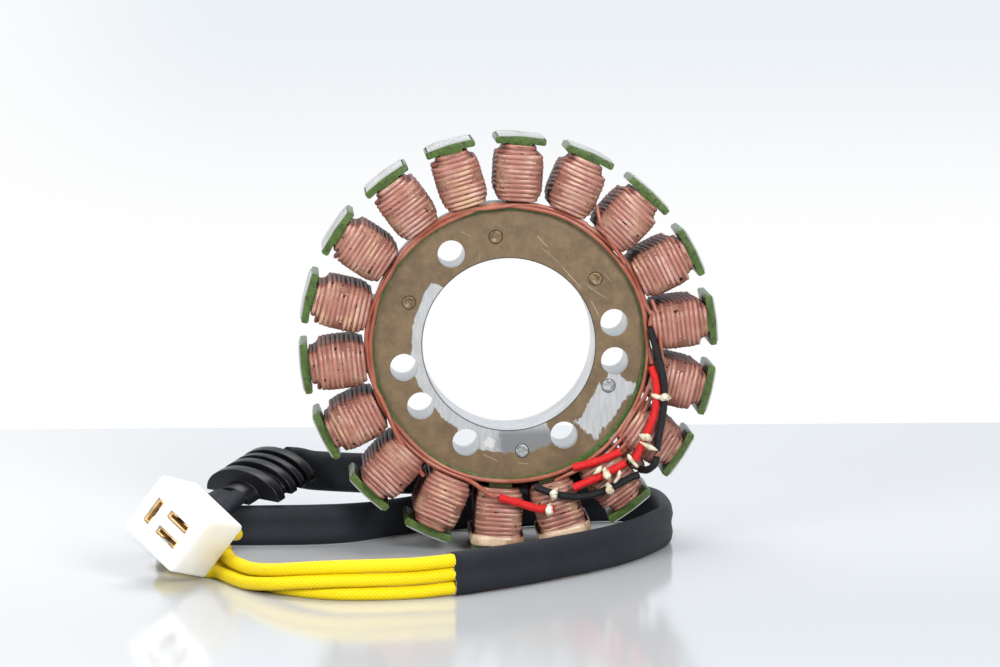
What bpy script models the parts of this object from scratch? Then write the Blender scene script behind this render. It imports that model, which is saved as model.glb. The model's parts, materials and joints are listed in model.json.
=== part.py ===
"""Wound stator of a small alternator, with its three-wire harness, grommet and connector.

Units are metres and +Z is up. The stator stands on its rim with its axis along Y and its front
towards -Y. The origin is on the surface it stands on, below the centre of the stator.
"""
import math

import bmesh
import bpy
import numpy as np
from mathutils import Matrix, Vector

# Clearance kept between pieces that touch on the real product
GAP = 0.0003

# Lamination stack. Its yoke, teeth, shoes and holes keep their share of the outer radius.
OUTER_RADIUS = 0.0600
STACK_HEIGHT = 0.0200
YOKE_RADIUS = OUTER_RADIUS * 0.65
BORE_RADIUS = YOKE_RADIUS * 19.0 / 30.0
POLE_COUNT = 18
FIRST_POLE_ANGLE = math.radians(6.6)
TOOTH_WIDTH = OUTER_RADIUS / 12.0
SHOE_WIDTH = OUTER_RADIUS * 0.2133
SHOE_THICKNESS = OUTER_RADIUS * 0.0283
SHOE_CORNER = 0.0005

# Holes through the yoke, anticlockwise from +X as seen from the front
HOLE_CIRCLE_RADIUS = OUTER_RADIUS * 0.5117
MOUNTING_HOLE_RADIUS = OUTER_RADIUS * 0.065
MOUNTING_HOLE_ANGLES = (11.4, 122.3, 192.2, 214.9, 246.5, 301.1, 350.8)
RIVET_CIRCLE_RADIUS = OUTER_RADIUS * 0.5167
RIVET_RADIUS = OUTER_RADIUS * 0.0317
RIVET_ANGLES = (37.0, 97.0, 157.0, 277.0, 337.0)
RIVET_PROUD = 0.0003

# Green insulating coat over the teeth and the slots
COAT_THICKNESS = 0.0005
COAT_FACE_LIP = 0.0006
COAT_FACE_INNER_RADIUS = YOKE_RADIUS - COAT_FACE_LIP
COAT_SETBACK = 0.0004

# Coils. Their first and last turns are narrower, and shorter by the end step.
COIL_FOOT = 0.0032
COIL_INNER_RADIUS = YOKE_RADIUS + COIL_FOOT
COIL_TIP_CLEARANCE = 0.0003
COIL_WIDTH = OUTER_RADIUS * 0.2267
COIL_OVERHANG = 0.0060
COIL_DEPTH = STACK_HEIGHT + 2.0 * COIL_OVERHANG
COIL_END_STEP = 0.0042
COIL_BASE_WIDTH = OUTER_RADIUS * 0.1867
COIL_BASE_DEPTH = COIL_DEPTH - COIL_END_STEP
COIL_TIP_WIDTH = OUTER_RADIUS * 0.1567
COIL_TIP_DEPTH = COIL_DEPTH - COIL_END_STEP
COIL_CORNER = 0.0034
TURNS_SHOWN = 9
TURN_GROOVE = 0.0004

# Bare copper wire from coil to coil
WIRE_DIAMETER = 0.0012
INNER_WIRE_RADIUS = YOKE_RADIUS + WIRE_DIAMETER / 4.0
OUTER_WIRE_RADIUS = INNER_WIRE_RADIUS + WIRE_DIAMETER + GAP

# Insulating sleeves over the joints of the leads
RED_SLEEVE_DIAMETER = 0.0024
BLACK_SLEEVE_DIAMETER = 0.0022
TIE_CORD_RADIUS = 0.00045
TIE_KNOT_RADIUS = 0.0012

# Cloth tape round the outer end of two coils
TAPE_POLES = (13, 14)
TAPE_WIDTH = OUTER_RADIUS * 0.0467
TAPE_THICKNESS = 0.0005

# Harness
SLEEVE_WIDTH = 0.0118
SLEEVE_THICKNESS = 0.0046
YELLOW_WIRE_DIAMETER = 0.0035

# Grommet, a half-round block with four ribs, resting on the sleeve below it
GROMMET_SEAT = (-0.0765, 0.0090, 0.0139)
GROMMET_AXIS = (0.580, 0.774, 0.254)
GROMMET_CHORD = (0.810, -0.584, -0.070)
GROMMET_RIBS = ((0.0, 0.0034), (0.0066, 0.0094), (0.0112, 0.0134), (0.0156, 0.0186))
GROMMET_HALF_WIDTH = 0.0131
GROMMET_RISE = 0.0080
GROMMET_SKIRT = 0.0009
GROMMET_GROOVE_DEPTH = 0.0021
GROMMET_BOSS_HALF_WIDTH = 0.0062
GROMMET_BOSS_RISE = 0.0046
GROMMET_FRONT_BOSS = 0.0050
GROMMET_REAR_BOSS = 0.0009

# Connector
HOUSING_FACE_CENTRE = (-0.09615, -0.06445, 0.01818)
HOUSING_TURN = (math.radians(-14.3), math.radians(35.1), math.radians(-27.1))
HOUSING_WIDTH = 0.0201
HOUSING_HEIGHT = 0.0184
HOUSING_LENGTH = 0.0202
HOUSING_EDGE = 0.0012
TERMINAL_WIDTH = 0.0072
TERMINAL_HEIGHT = 0.0020
TERMINAL_LENGTH = 0.0130
TERMINAL_SHEET = 0.0005
TERMINAL_SETBACK = 0.0008
TERMINAL_PLACES = ((-0.0053, 0.0, 90.0), (0.0026, 0.0025, 0.0), (0.0026, -0.0028, 180.0))
WIRE_SOCKET_DEPTH = 0.0030

# Route of the sleeve behind the stator, between the lead that enters it and the grommet: x, how
# far its middle is behind the coils, and z in millimetres, and roll in degrees from standing on edge
REAR_SLEEVE_ROUTE = (
    (24, 3.2, 20.6, 0), (12, 3.2, 19.6, 0), (0, 3.3, 18.8, 0), (-12, 3.8, 18.3, 0),
    (-24, 5.0, 18.0, 0), (-34, 6.9, 17.9, 0), (-44, 9.6, 17.9, 0), (-52, 12.0, 18.0, 0),
    (-57, 12.9, 18.3, 0), (-60.6, 12.4, 19.2, 0),
)
# Where that sleeve ends: beyond the grommet's last boss and up from its seat
REAR_JOINT_BEYOND = 0.00205
REAR_JOINT_RISE = 0.00055
# Step from the end of the lead to the start of that sleeve
LEAD_JOINT = 0.0005
# Route of the sleeve from the grommet to its open end: x, y, z in millimetres, and roll
FRONT_SLEEVE_ROUTE = (
    (-80.1, 4.3, 14.45, 90), (-83.2, 0.0, 13.2, 84), (-87.2, -5.4, 11.6, 60),
    (-92.2, -9.6, 9.8, 35), (-97.2, -8.8, 8.0, 15), (-99.0, -3.8, 6.8, 4), (-96.6, 1.2, 6.2, 0),
    (-91.0, 3.9, 6.0, 0), (-84, 4.2, 6.0, 0), (-76, 3.8, 6.0, 0), (-66, 3.8, 6.0, 0),
    (-55, 4.4, 6.0, 0), (-46, 6.6, 6.0, 6), (-38.6, 11.4, 5.9, 14), (-31.2, 18.5, 5.8, 16),
    (-24, 24.2, 5.8, 14), (-14, 28.6, 5.9, 6), (-4, 30.6, 6.0, 0), (8, 33.4, 6.0, 0),
    (18, 37.4, 6.0, 0), (27, 41.0, 6.0, 0), (35.5, 41.4, 6.0, 0), (42.0, 36.4, 6.0, 0),
    (45.6, 28.0, 6.0, 0), (46.6, 18.0, 6.0, 0), (46.6, 8.0, 6.0, 0), (45.4, -2.0, 6.0, 0),
    (41.4, -12.6, 6.0, 0), (35.7, -23.8, 6.0, 0), (29.1, -34.2, 6.0, 0), (21.5, -43.6, 6.0, 2),
    (11.5, -53.8, 6.0, 4), (0.0, -64.4, 6.0, 6), (-9.8, -72.3, 6.0, 8), (-19.2, -78.4, 6.0, 10),
)
# Route of the three yellow wires as a bunch, from the sleeve's open end to behind the connector:
# x and y of its middle, then for each wire how far it lies to the left and its height, in
# millimetres. They start one above the other and lie side by side in the loop.
BUNCH_ROUTE = (
    (-20.0, -78.8, 0.0, 9.6, 0.0, 5.9, 0.0, 2.1), (-29.0, -82.0, 0.0, 9.3, 0.1, 5.6, 0.0, 1.8),
    (-39.0, -83.7, 0.0, 9.3, 0.3, 5.6, 0.0, 1.8), (-49.3, -83.6, 0.2, 9.1, 0.8, 5.5, -0.4, 1.8),
    (-58.6, -80.4, 0.3, 8.2, 1.5, 4.7, -1.2, 1.8), (-66.4, -74.6, 0.2, 6.8, 2.0, 3.3, -1.7, 1.8),
    (-72.6, -66.0, 0.0, 5.6, 2.0, 2.0, -1.9, 1.8), (-76.9, -56.6, 0.0, 5.4, 2.1, 1.8, -2.0, 1.8),
    (-80.3, -48.9, -0.6, 5.6, 2.1, 1.8, -2.0, 1.8), (-82.6, -45.6, -3.3, 5.4, 3.4, 1.8, -0.6, 1.8),
    (-86.0, -42.2, -4.0, 2.2, 3.9, 1.8, 0.0, 1.8), (-91.2, -38.9, -4.0, 1.9, 3.9, 1.8, 0.0, 1.8),
    (-95.7, -34.3, -3.8, 2.0, 3.9, 1.9, 0.0, 1.8), (-96.6, -28.7, -3.7, 3.4, 3.9, 2.5, 0.0, 2.0),
    (-93.8, -23.7, -3.0, 5.6, 3.9, 3.6, 0.0, 2.6), (-88.4, -21.7, -2.4, 7.8, 3.9, 5.1, 0.0, 3.3),
    (-83.0, -23.5, -2.8, 9.8, 3.9, 6.7, 0.2, 4.1), (-80.0, -28.4, -3.7, 11.3, 3.9, 8.3, 0.4, 5.0),
)
# Straight run of each wire behind the connector
WIRE_STRAIGHT_RUN = 0.0140
# Leads in front of the coils: x, y and height above the stator's axis, in millimetres, drawn for a
# stator of 60 mm radius with coils 32 mm deep. They grow with the stator.
RED_SLEEVE_ROUTES = (
    ((40.6, -15.4, -6.0), (41.9, -17.0, -11.0), (41.2, -17.8, -19.0), (38.9, -17.8, -25.6),
     (36.2, -17.8, -32.6)),
    ((18.0, -15.6, -34.9), (25.4, -15.7, -32.9), (31.6, -15.8, -30.3)),
    ((18.0, -17.8, -40.4), (22.6, -17.8, -38.4), (27.6, -17.8, -36.2), (32.9, -17.8, -33.2)),
    ((-3.2, -17.8, -43.0), (2.6, -17.8, -44.6), (7.7, -17.8, -46.2), (12.6, -17.8, -46.5)),
)
BLACK_SLEEVE_ROUTES = (
    ((40.0, -14.4, 4.8), (41.4, -15.8, 0.6), (43.2, -17.3, -4.6), (44.6, -17.8, -10.2),
     (44.6, -17.8, -15.2), (44.0, -17.8, -21.2), (42.6, -17.8, -26.8), (41.9, -17.8, -29.8)),
    ((41.8, -17.9, -31.4), (41.2, -18.0, -33.6), (39.6, -16.8, -35.3), (38.0, -13.2, -36.0),
     (37.7, -7.0, -36.0), (37.7, 0.0, -36.0), (37.7, 7.0, -36.0), (37.6, 13.0, -36.0),
     (37.3, 17.0, -36.4), (35.9, 19.1, -37.4), (33.0, 19.3, -38.4)),
    ((7.2, -15.8, -41.2), (13.4, -17.7, -43.2), (20.8, -17.7, -43.8), (28.3, -17.7, -41.9),
     (34.0, -17.8, -38.9), (36.9, -17.9, -37.4)),
)
# Lacing ties: which sleeve, and how far along it
TIES = (("black", 2, 0.20), ("red", 3, 0.90), ("red", 2, 0.62), ("black", 2, 0.70),
        ("black", 0, 0.56), ("red", 0, 0.74))


def material(name, colour, roughness, metallic=0.0):
    """A plain material with one colour."""
    made = bpy.data.materials.new(name)
    made.use_nodes = True
    shader = made.node_tree.nodes["Principled BSDF"]
    shader.inputs["Base Color"].default_value = (*colour, 1.0)
    shader.inputs["Roughness"].default_value = roughness
    shader.inputs["Metallic"].default_value = metallic
    return made


MATERIALS = {
    "steel": lambda: material("bare steel", (0.36, 0.30, 0.22), 0.45, 0.7),
    "rivet": lambda: material("rivet steel", (0.30, 0.26, 0.20), 0.50, 0.7),
    "coat": lambda: material("green coat", (0.12, 0.25, 0.06), 0.40),
    "copper": lambda: material("varnished copper", (0.50, 0.19, 0.13), 0.25, 0.5),
    "red": lambda: material("red sleeve", (0.80, 0.03, 0.03), 0.50),
    "black": lambda: material("black sleeve", (0.02, 0.02, 0.03), 0.45),
    "cord": lambda: material("lacing cord", (0.80, 0.78, 0.66), 0.70),
    "tape": lambda: material("cloth tape", (0.55, 0.45, 0.32), 0.60),
    "sleeve": lambda: material("woven sleeve", (0.03, 0.035, 0.045), 0.45),
    "yellow": lambda: material("yellow wire", (0.95, 0.65, 0.00), 0.55),
    "rubber": lambda: material("rubber", (0.01, 0.01, 0.012), 0.55),
    "nylon": lambda: material("nylon", (0.85, 0.85, 0.83), 0.30),
    "brass": lambda: material("brass", (0.60, 0.40, 0.15), 0.30, 0.9),
}


def clear_scene():
    """Starts from an empty scene."""
    for old in list(bpy.data.objects):
        bpy.data.objects.remove(old, do_unlink=True)


def add_object(name, mesh, kind, location=(0.0, 0.0, 0.0), turn=(0.0, 0.0, 0.0)):
    """Links a mesh or curve to the scene as one named sub-part."""
    made = bpy.data.objects.new(name, mesh)
    bpy.context.scene.collection.objects.link(made)
    made.location = location
    made.rotation_euler = turn
    mesh.materials.append(MATERIALS[kind]())
    return made


def smooth(mesh, degrees=40.0):
    """Shades round faces smooth and keeps sharp edges sharp."""
    mesh.shade_smooth()
    mesh.set_sharp_from_angle(angle=math.radians(degrees))


def mesh_from(builder, name):
    """Turns a bmesh into a mesh with its faces pointing out."""
    bmesh.ops.recalc_face_normals(builder, faces=builder.faces)
    mesh = bpy.data.meshes.new(name)
    builder.to_mesh(mesh)
    builder.free()
    smooth(mesh)
    return mesh


def loft(name, rings, closed=False):
    """Joins rings of points, each with as many points, into one closed body."""
    builder = bmesh.new()
    rows = [[builder.verts.new(point) for point in ring] for ring in rings]
    pairs = list(zip(rows, rows[1:]))
    if closed:
        pairs.append((rows[-1], rows[0]))
    else:
        builder.faces.new(rows[0])
        builder.faces.new(list(reversed(rows[-1])))
    for low, high in pairs:
        for first in range(len(low)):
            second = (first + 1) % len(low)
            builder.faces.new((low[first], high[first], high[second], low[second]))
    return mesh_from(builder, name)


def extrude_outline(name, outline, low, high):
    """Extrudes an outline in the XZ plane from one Y to another."""
    return loft(name, [[(x, low, z) for x, z in outline], [(x, high, z) for x, z in outline]])


def cylinder_mesh(name, radius, low, high, segments):
    """A cylinder along Y."""
    turn = [2.0 * math.pi * step / segments for step in range(segments)]
    outline = [(radius * math.cos(angle), radius * math.sin(angle)) for angle in turn]
    return extrude_outline(name, outline, low, high)


def add_cutter(name, mesh, location=(0.0, 0.0, 0.0), turn=(0.0, 0.0, 0.0)):
    """A guide for a Boolean, left out of the finished part."""
    cutter = bpy.data.objects.new(name, mesh)
    bpy.context.scene.collection.objects.link(cutter)
    cutter.location = location
    cutter.rotation_euler = turn
    cutter.hide_render = True
    cutter.display_type = "WIRE"
    return cutter


def cut(target, cutter):
    """Cuts one object out of another."""
    boolean = target.modifiers.new("cut " + cutter.name, "BOOLEAN")
    boolean.operation = "DIFFERENCE"
    boolean.solver = "EXACT"
    boolean.object = cutter


def on_circle(radius, angle):
    """A point on a circle round the stator's axis."""
    return radius * math.cos(angle), radius * math.sin(angle)


def pole_angle(pole):
    return FIRST_POLE_ANGLE + 2.0 * math.pi * pole / POLE_COUNT


def star_outline(grow, outer_radius, outer_corner=SHOE_CORNER):
    """The outline of the yoke, teeth and shoes, grown outwards by a distance."""
    tooth = TOOTH_WIDTH / 2.0 + grow
    root = YOKE_RADIUS + grow
    shoe = SHOE_WIDTH / 2.0 + grow
    shoe_inner = OUTER_RADIUS - SHOE_THICKNESS - grow
    half = [
        (root * math.cos(math.pi / POLE_COUNT), -root * math.sin(math.pi / POLE_COUNT)),
        (math.sqrt(root ** 2 - tooth ** 2), -tooth),
        (math.sqrt(shoe_inner ** 2 - tooth ** 2), -tooth),
        (math.sqrt(shoe_inner ** 2 - (shoe - SHOE_CORNER) ** 2), -(shoe - SHOE_CORNER)),
        (math.sqrt(shoe_inner ** 2 - shoe ** 2) + SHOE_CORNER, -shoe),
        (math.sqrt(outer_radius ** 2 - shoe ** 2) - outer_corner, -shoe),
    ]
    if outer_corner > 0.0:
        rounded = shoe - outer_corner
        half.append((math.sqrt(outer_radius ** 2 - rounded ** 2), -rounded))
    if grow == 0.0:
        half.append((math.sqrt(outer_radius ** 2 - (shoe / 2.0) ** 2), -shoe / 2.0))
    pole = half + [(outer_radius, 0.0)] + [(x, -z) for x, z in reversed(half[1:])]
    outline = []
    for number in range(POLE_COUNT):
        angle = pole_angle(number)
        for x, z in pole:
            outline.append((x * math.cos(angle) - z * math.sin(angle),
                            x * math.sin(angle) + z * math.cos(angle)))
    return outline


CENTRE = (0.0, 0.0, OUTER_RADIUS)
HALF_STACK = STACK_HEIGHT / 2.0
COAT_FRONT = HALF_STACK + GAP + COAT_THICKNESS


def build_stack():
    """The steel laminations: yoke, teeth and shoes in one stack, with the bore and the holes."""
    outline = star_outline(0.0, OUTER_RADIUS)
    stack = add_object("lamination_stack",
                       extrude_outline("stack", outline, -HALF_STACK, HALF_STACK), "steel", CENTRE)
    reach = HALF_STACK * 1.2
    cut(stack, add_cutter("bore_cutter", cylinder_mesh("bore", BORE_RADIUS, -reach, reach, 60), CENTRE))
    for circle, radius, angles, segments in (
            (HOLE_CIRCLE_RADIUS, MOUNTING_HOLE_RADIUS, MOUNTING_HOLE_ANGLES, 16),
            (RIVET_CIRCLE_RADIUS, RIVET_RADIUS + GAP, RIVET_ANGLES, 12)):
        for degrees in angles:
            x, z = on_circle(circle, math.radians(degrees))
            mesh = cylinder_mesh("hole", radius, -reach, reach, segments)
            cut(stack, add_cutter("hole_cutter", mesh, (x, 0.0, OUTER_RADIUS + z)))


def build_rivets():
    """Rivets that clamp the laminations, their ends a little proud of both faces."""
    reach = HALF_STACK + RIVET_PROUD
    edge = RIVET_PROUD
    for number, degrees in enumerate(RIVET_ANGLES, start=1):
        rings = []
        for y, radius in ((-reach, RIVET_RADIUS - edge), (-reach + edge, RIVET_RADIUS),
                          (reach - edge, RIVET_RADIUS), (reach, RIVET_RADIUS - edge)):
            turn = [2.0 * math.pi * step / 12 for step in range(12)]
            rings.append([(radius * math.cos(a), y, radius * math.sin(a)) for a in turn])
        x, z = on_circle(RIVET_CIRCLE_RADIUS, math.radians(degrees))
        add_object(f"rivet_{number}", loft("rivet", rings), "rivet", (x, 0.0, OUTER_RADIUS + z))


def build_coat():
    """The green coat, one skin over the teeth, the slots and the edge of the yoke."""
    outer_radius = OUTER_RADIUS - COAT_SETBACK
    skin = star_outline(GAP + COAT_THICKNESS, outer_radius, COAT_THICKNESS * 0.5)
    coat = add_object("insulating_coat",
                      extrude_outline("coat", skin, -COAT_FRONT, COAT_FRONT), "coat", CENTRE)
    steel = star_outline(GAP, OUTER_RADIUS + COAT_THICKNESS * 4.0, 0.0)
    room = HALF_STACK + GAP
    cut(coat, add_cutter("coat_cutter", extrude_outline("steel room", steel, -room, room), CENTRE))
    reach = COAT_FRONT * 1.2
    face = cylinder_mesh("face", COAT_FACE_INNER_RADIUS, -reach, reach, 72)
    cut(coat, add_cutter("coat_face_cutter", face, CENTRE))


def rounded_ring(radius, width, depth, corner):
    """An eight-sided ring round a tooth, at one distance from the stator's axis."""
    w = width / 2.0
    d = depth / 2.0
    corner = min(corner, w * 0.8)
    return [(radius, -d, -(w - corner)), (radius, -d, w - corner), (radius, -(d - corner), w),
            (radius, d - corner, w), (radius, d, w - corner), (radius, d, -(w - corner)),
            (radius, d - corner, -w), (radius, -(d - corner), -w)]


def coil_mesh():
    """One coil: a ridged barrel of turns with a hole for the coated tooth."""
    top = OUTER_RADIUS - SHOE_THICKNESS - GAP - COAT_THICKNESS - COIL_TIP_CLEARANCE
    pitch = (top - COIL_INNER_RADIUS) / TURNS_SHOWN
    rings = []
    for turn in range(TURNS_SHOWN):
        low = COIL_INNER_RADIUS + turn * pitch
        width, depth = COIL_WIDTH, COIL_DEPTH
        if turn == 0:
            width, depth = COIL_BASE_WIDTH, COIL_BASE_DEPTH
        if turn == TURNS_SHOWN - 1:
            width, depth = COIL_TIP_WIDTH, COIL_TIP_DEPTH
        groove = 2.0 * TURN_GROOVE
        rings.append(rounded_ring(low, width - groove, depth - groove, COIL_CORNER))
        rings.append(rounded_ring(low + pitch / 2.0, width, depth, COIL_CORNER))
    rings.append(rounded_ring(top, COIL_TIP_WIDTH - groove, COIL_TIP_DEPTH - groove, COIL_CORNER))
    hole_width = TOOTH_WIDTH + 2.0 * (COAT_THICKNESS + 2.0 * GAP)
    hole_depth = 2.0 * (COAT_FRONT + GAP)
    rings.append(rounded_ring(top, hole_width, hole_depth, GAP))
    rings.append(rounded_ring(COIL_INNER_RADIUS, hole_width, hole_depth, GAP))
    return loft("coil", rings, closed=True)


def build_coils():
    """A coil on each tooth."""
    mesh = coil_mesh()
    for pole in range(POLE_COUNT):
        add_object(f"coil_{pole + 1:02d}", mesh.copy(), "copper", CENTRE, (0.0, -pole_angle(pole), 0.0))


def build_tapes():
    """A turn of cloth tape round the outer end of two coils and their shoes."""
    inner = OUTER_RADIUS - COAT_SETBACK - GAP
    shoe_half = SHOE_WIDTH / 2.0 + GAP + COAT_THICKNESS
    high = math.sqrt(inner ** 2 - (shoe_half + TAPE_THICKNESS + GAP) ** 2)
    low = high - TAPE_WIDTH
    width = 2.0 * (shoe_half + GAP)
    depth = COIL_TIP_DEPTH + 2.0 * GAP
    corner = COIL_CORNER * 0.8
    rings = [rounded_ring(low, width + 2 * TAPE_THICKNESS, depth + 2 * TAPE_THICKNESS, corner),
             rounded_ring(high, width + 2 * TAPE_THICKNESS, depth + 2 * TAPE_THICKNESS, corner),
             rounded_ring(high, width, depth, corner),
             rounded_ring(low, width, depth, corner)]
    for number, pole in enumerate(TAPE_POLES, start=1):
        add_object(f"tape_band_{number}", loft("tape", rings, closed=True), "tape", CENTRE,
                   (0.0, -pole_angle(pole), 0.0))


def curve_through(points, spacing):
    """A smooth curve through the points, read off at even steps."""
    route = np.array(points, dtype=float)
    ends = np.vstack([2.0 * route[0] - route[1], route, 2.0 * route[-1] - route[-2]])
    fine = []
    for before, start, end, after in zip(ends, ends[1:], ends[2:], ends[3:]):
        for t in np.linspace(0.0, 1.0, 12, endpoint=False):
            fine.append(0.5 * (2.0 * start + (end - before) * t
                               + (2.0 * before - 5.0 * start + 4.0 * end - after) * t ** 2
                               + (3.0 * start - before - 3.0 * end + after) * t ** 3))
    fine.append(route[-1])
    fine = np.array(fine)
    run = np.concatenate([[0.0], np.cumsum(np.linalg.norm(np.diff(fine[:, :3], axis=0), axis=1))])
    count = max(2, round(run[-1] / spacing) + 1)
    even = np.linspace(0.0, run[-1], count)
    return np.column_stack([np.interp(even, run, fine[:, axis]) for axis in range(route.shape[1])])


def add_tube(name, points, diameter, kind, resolution=2):
    """A round wire or sleeve along points given in metres."""
    curve = bpy.data.curves.new(name, "CURVE")
    curve.dimensions = "3D"
    curve.bevel_depth = diameter / 2.0
    curve.bevel_resolution = resolution
    curve.use_fill_caps = True
    spline = curve.splines.new("POLY")
    spline.points.add(len(points) - 1)
    for place, point in zip(spline.points, points):
        place.co = (*point, 1.0)
    return add_object(name, curve, kind)


def wire_on_yoke(radius, start, end, lift_from=None, lift_to=None):
    """Points of a wire that lies against the coat round the yoke, from one angle to another."""
    y = -(COAT_FRONT + GAP + WIRE_DIAMETER / 2.0)
    steps = max(4, round(abs(end - start) / 10.0))
    points = []
    for degrees in np.linspace(start, end, steps + 1):
        x, z = on_circle(radius, math.radians(degrees))
        points.append((x, y, OUTER_RADIUS + z))
    if lift_from:
        points = list(lift_from) + points
    if lift_to:
        points = points + list(lift_to)
    return points


def at_axis_height(points):
    """Points drawn about the axis of a 60 mm stator with 32 mm coils, for this one's size."""
    wide = OUTER_RADIUS / 60.0
    deep = COIL_DEPTH / 32.0
    return [(x * wide, y * deep, OUTER_RADIUS + z * wide) for x, y, z in points]


def build_crossovers():
    """Bare copper wire from coil to coil, and to the start of the leads."""
    to_red_4 = at_axis_height(((-9.6, -12.6, -40.0), (-7.6, -15.2, -41.3), (-5.6, -17.3, -42.3),
                               (-3.8, -17.7, -42.8)))
    to_black_1 = at_axis_height(((40.7, -11.9, 8.6), (40.3, -13.2, 7.0), (40.0, -14.2, 5.4)))
    to_red_1 = at_axis_height(((40.1, -12.6, -1.8), (40.5, -14.2, -4.0), (40.5, -15.2, -5.4)))
    runs = (
        ("crossover_inner", INNER_WIRE_RADIUS, 52.0, 300.0, None),
        ("crossover_outer", OUTER_WIRE_RADIUS, 70.0, 252.0, to_red_4),
        ("crossover_right_outer", OUTER_WIRE_RADIUS, 58.0, 16.0, to_black_1),
        ("crossover_right_inner", INNER_WIRE_RADIUS, 48.0, 2.0, to_red_1),
    )
    for name, radius, start, end, lift in runs:
        add_tube(name, wire_on_yoke(radius, start, end, lift_to=lift), WIRE_DIAMETER, "copper", 1)


def build_lead_sleeves():
    """Red and black sleeves over the joints of the leads. Returns the routes of their middles."""
    routes = {}
    for kind, diameter, group in (("red", RED_SLEEVE_DIAMETER, RED_SLEEVE_ROUTES),
                                  ("black", BLACK_SLEEVE_DIAMETER, BLACK_SLEEVE_ROUTES)):
        for number, route in enumerate(group):
            points = curve_through(at_axis_height(route), diameter * 1.6)
            add_tube(f"{kind}_lead_sleeve_{number + 1}", points, diameter, kind)
            routes[kind, number] = (points, diameter)
    return routes


def build_ties(routes):
    """Lacing ties: a cord over the front of a sleeve with a knot in the middle."""
    for number, (kind, which, share) in enumerate(TIES, start=1):
        points, diameter = routes[kind, which]
        place = share * (len(points) - 1)
        index = min(int(place), len(points) - 2)
        centre = Vector(points[index]).lerp(Vector(points[index + 1]), place - index)
        along = (Vector(points[index + 1]) - Vector(points[index])).normalized()
        front = Vector((0.0, -1.0, 0.0))
        front = (front - along * front.dot(along)).normalized()
        side = along.cross(front)
        rings = []
        for step in range(9):
            sweep = math.radians(-52.0 + 13.0 * step)
            knot = math.exp(-(sweep / 0.55) ** 2)
            cord = TIE_CORD_RADIUS + (TIE_KNOT_RADIUS - TIE_CORD_RADIUS) * knot
            outward = front * math.cos(sweep) + side * math.sin(sweep)
            middle = centre + outward * (diameter / 2.0 + GAP + cord)
            rings.append([middle + outward * cord * math.cos(a) + along * cord * math.sin(a)
                          for a in (2.0 * math.pi * part / 6 for part in range(6))])
        add_object(f"lacing_tie_{number}", loft("tie", rings), "cord")


def flat_sleeve(name, route):
    """A flat woven sleeve along a route, standing on edge where its roll is nought."""
    points = curve_through(route, SLEEVE_WIDTH / 2.2)
    middle = points[:, :3]
    heading = np.gradient(middle, axis=0)
    heading /= np.linalg.norm(heading, axis=1)[:, None]
    radius = SLEEVE_THICKNESS / 2.0
    straight = SLEEVE_WIDTH / 2.0 - radius
    rings = []
    for centre, along, roll in zip(middle, heading, np.radians(points[:, 3])):
        side = np.cross(along, (0.0, 0.0, 1.0))
        side /= np.linalg.norm(side)
        up = np.cross(side, along)
        wide = up * math.cos(roll) + side * math.sin(roll)
        thin = np.cross(along, wide)
        ring = []
        for end in (1.0, -1.0):
            for degrees in (90.0, 45.0, 0.0, -45.0, -90.0):
                angle = math.radians(degrees)
                ring.append(centre + end * (wide * (straight + radius * math.cos(angle))
                                            + thin * radius * math.sin(angle)))
        rings.append(ring)
    add_object(name, loft(name, rings), "sleeve")


def rear_route(lead_end):
    """The route of the sleeve behind the stator, from the end of the lead to the grommet."""
    seat, along, _, rise = grommet_frame()
    joint = (seat + along * (GROMMET_RIBS[-1][1] + GROMMET_REAR_BOSS + REAR_JOINT_BEYOND)
             + rise * REAR_JOINT_RISE)
    route = [(lead_end[0] - LEAD_JOINT, lead_end[1], lead_end[2], 0.0)]
    for x, behind, z, roll in REAR_SLEEVE_ROUTE:
        route.append((x / 1000.0, COIL_DEPTH / 2.0 + behind / 1000.0, z / 1000.0, roll))
    return route + [(*joint, 0.0)]


def build_harness(lead_end):
    """The flat sleeves and the three yellow wires."""
    flat_sleeve("rear_harness_sleeve", rear_route(lead_end))
    flat_sleeve("front_harness_sleeve", [(x / 1000.0, y / 1000.0, z / 1000.0, roll)
                                         for x, y, z, roll in FRONT_SLEEVE_ROUTE])
    for number in range(len(TERMINAL_PLACES)):
        points = curve_through(wire_route(number), YELLOW_WIRE_DIAMETER * 1.7)
        add_tube(f"yellow_wire_{number + 1}", points, YELLOW_WIRE_DIAMETER, "yellow")


def wire_route(number):
    """Points of one yellow wire, from its place in the bunch to its socket in the connector."""
    rows = np.array(BUNCH_ROUTE) / 1000.0
    place = housing_place()
    x, z, _ = TERMINAL_PLACES[number]
    middle = place @ Vector((0.0, HOUSING_LENGTH + WIRE_STRAIGHT_RUN, 0.0))
    ways = np.vstack([rows[:, :2], (middle.x, middle.y)])
    heading = np.gradient(ways, axis=0)[:-1]
    heading /= np.linalg.norm(heading, axis=1)[:, None]
    route = []
    for row, (ahead_x, ahead_y) in zip(rows, heading):
        left, height = row[2 + 2 * number], row[3 + 2 * number]
        route.append((row[0] - ahead_y * left, row[1] + ahead_x * left, height))
    socket_end = HOUSING_LENGTH - WIRE_SOCKET_DEPTH + GAP
    for distance in (HOUSING_LENGTH + WIRE_STRAIGHT_RUN, HOUSING_LENGTH + WIRE_STRAIGHT_RUN / 2.0,
                     HOUSING_LENGTH, socket_end):
        route.append(tuple(place @ Vector((x, distance, z))))
    return route


def grommet_frame():
    """The grommet's seat, and its directions along, across and up."""
    along = Vector(GROMMET_AXIS).normalized()
    across = Vector(GROMMET_CHORD)
    across = (across - along * across.dot(along)).normalized()
    rise = across.cross(along)
    if rise.z < 0.0:
        rise = -rise
    return Vector(GROMMET_SEAT), along, across, rise


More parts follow.
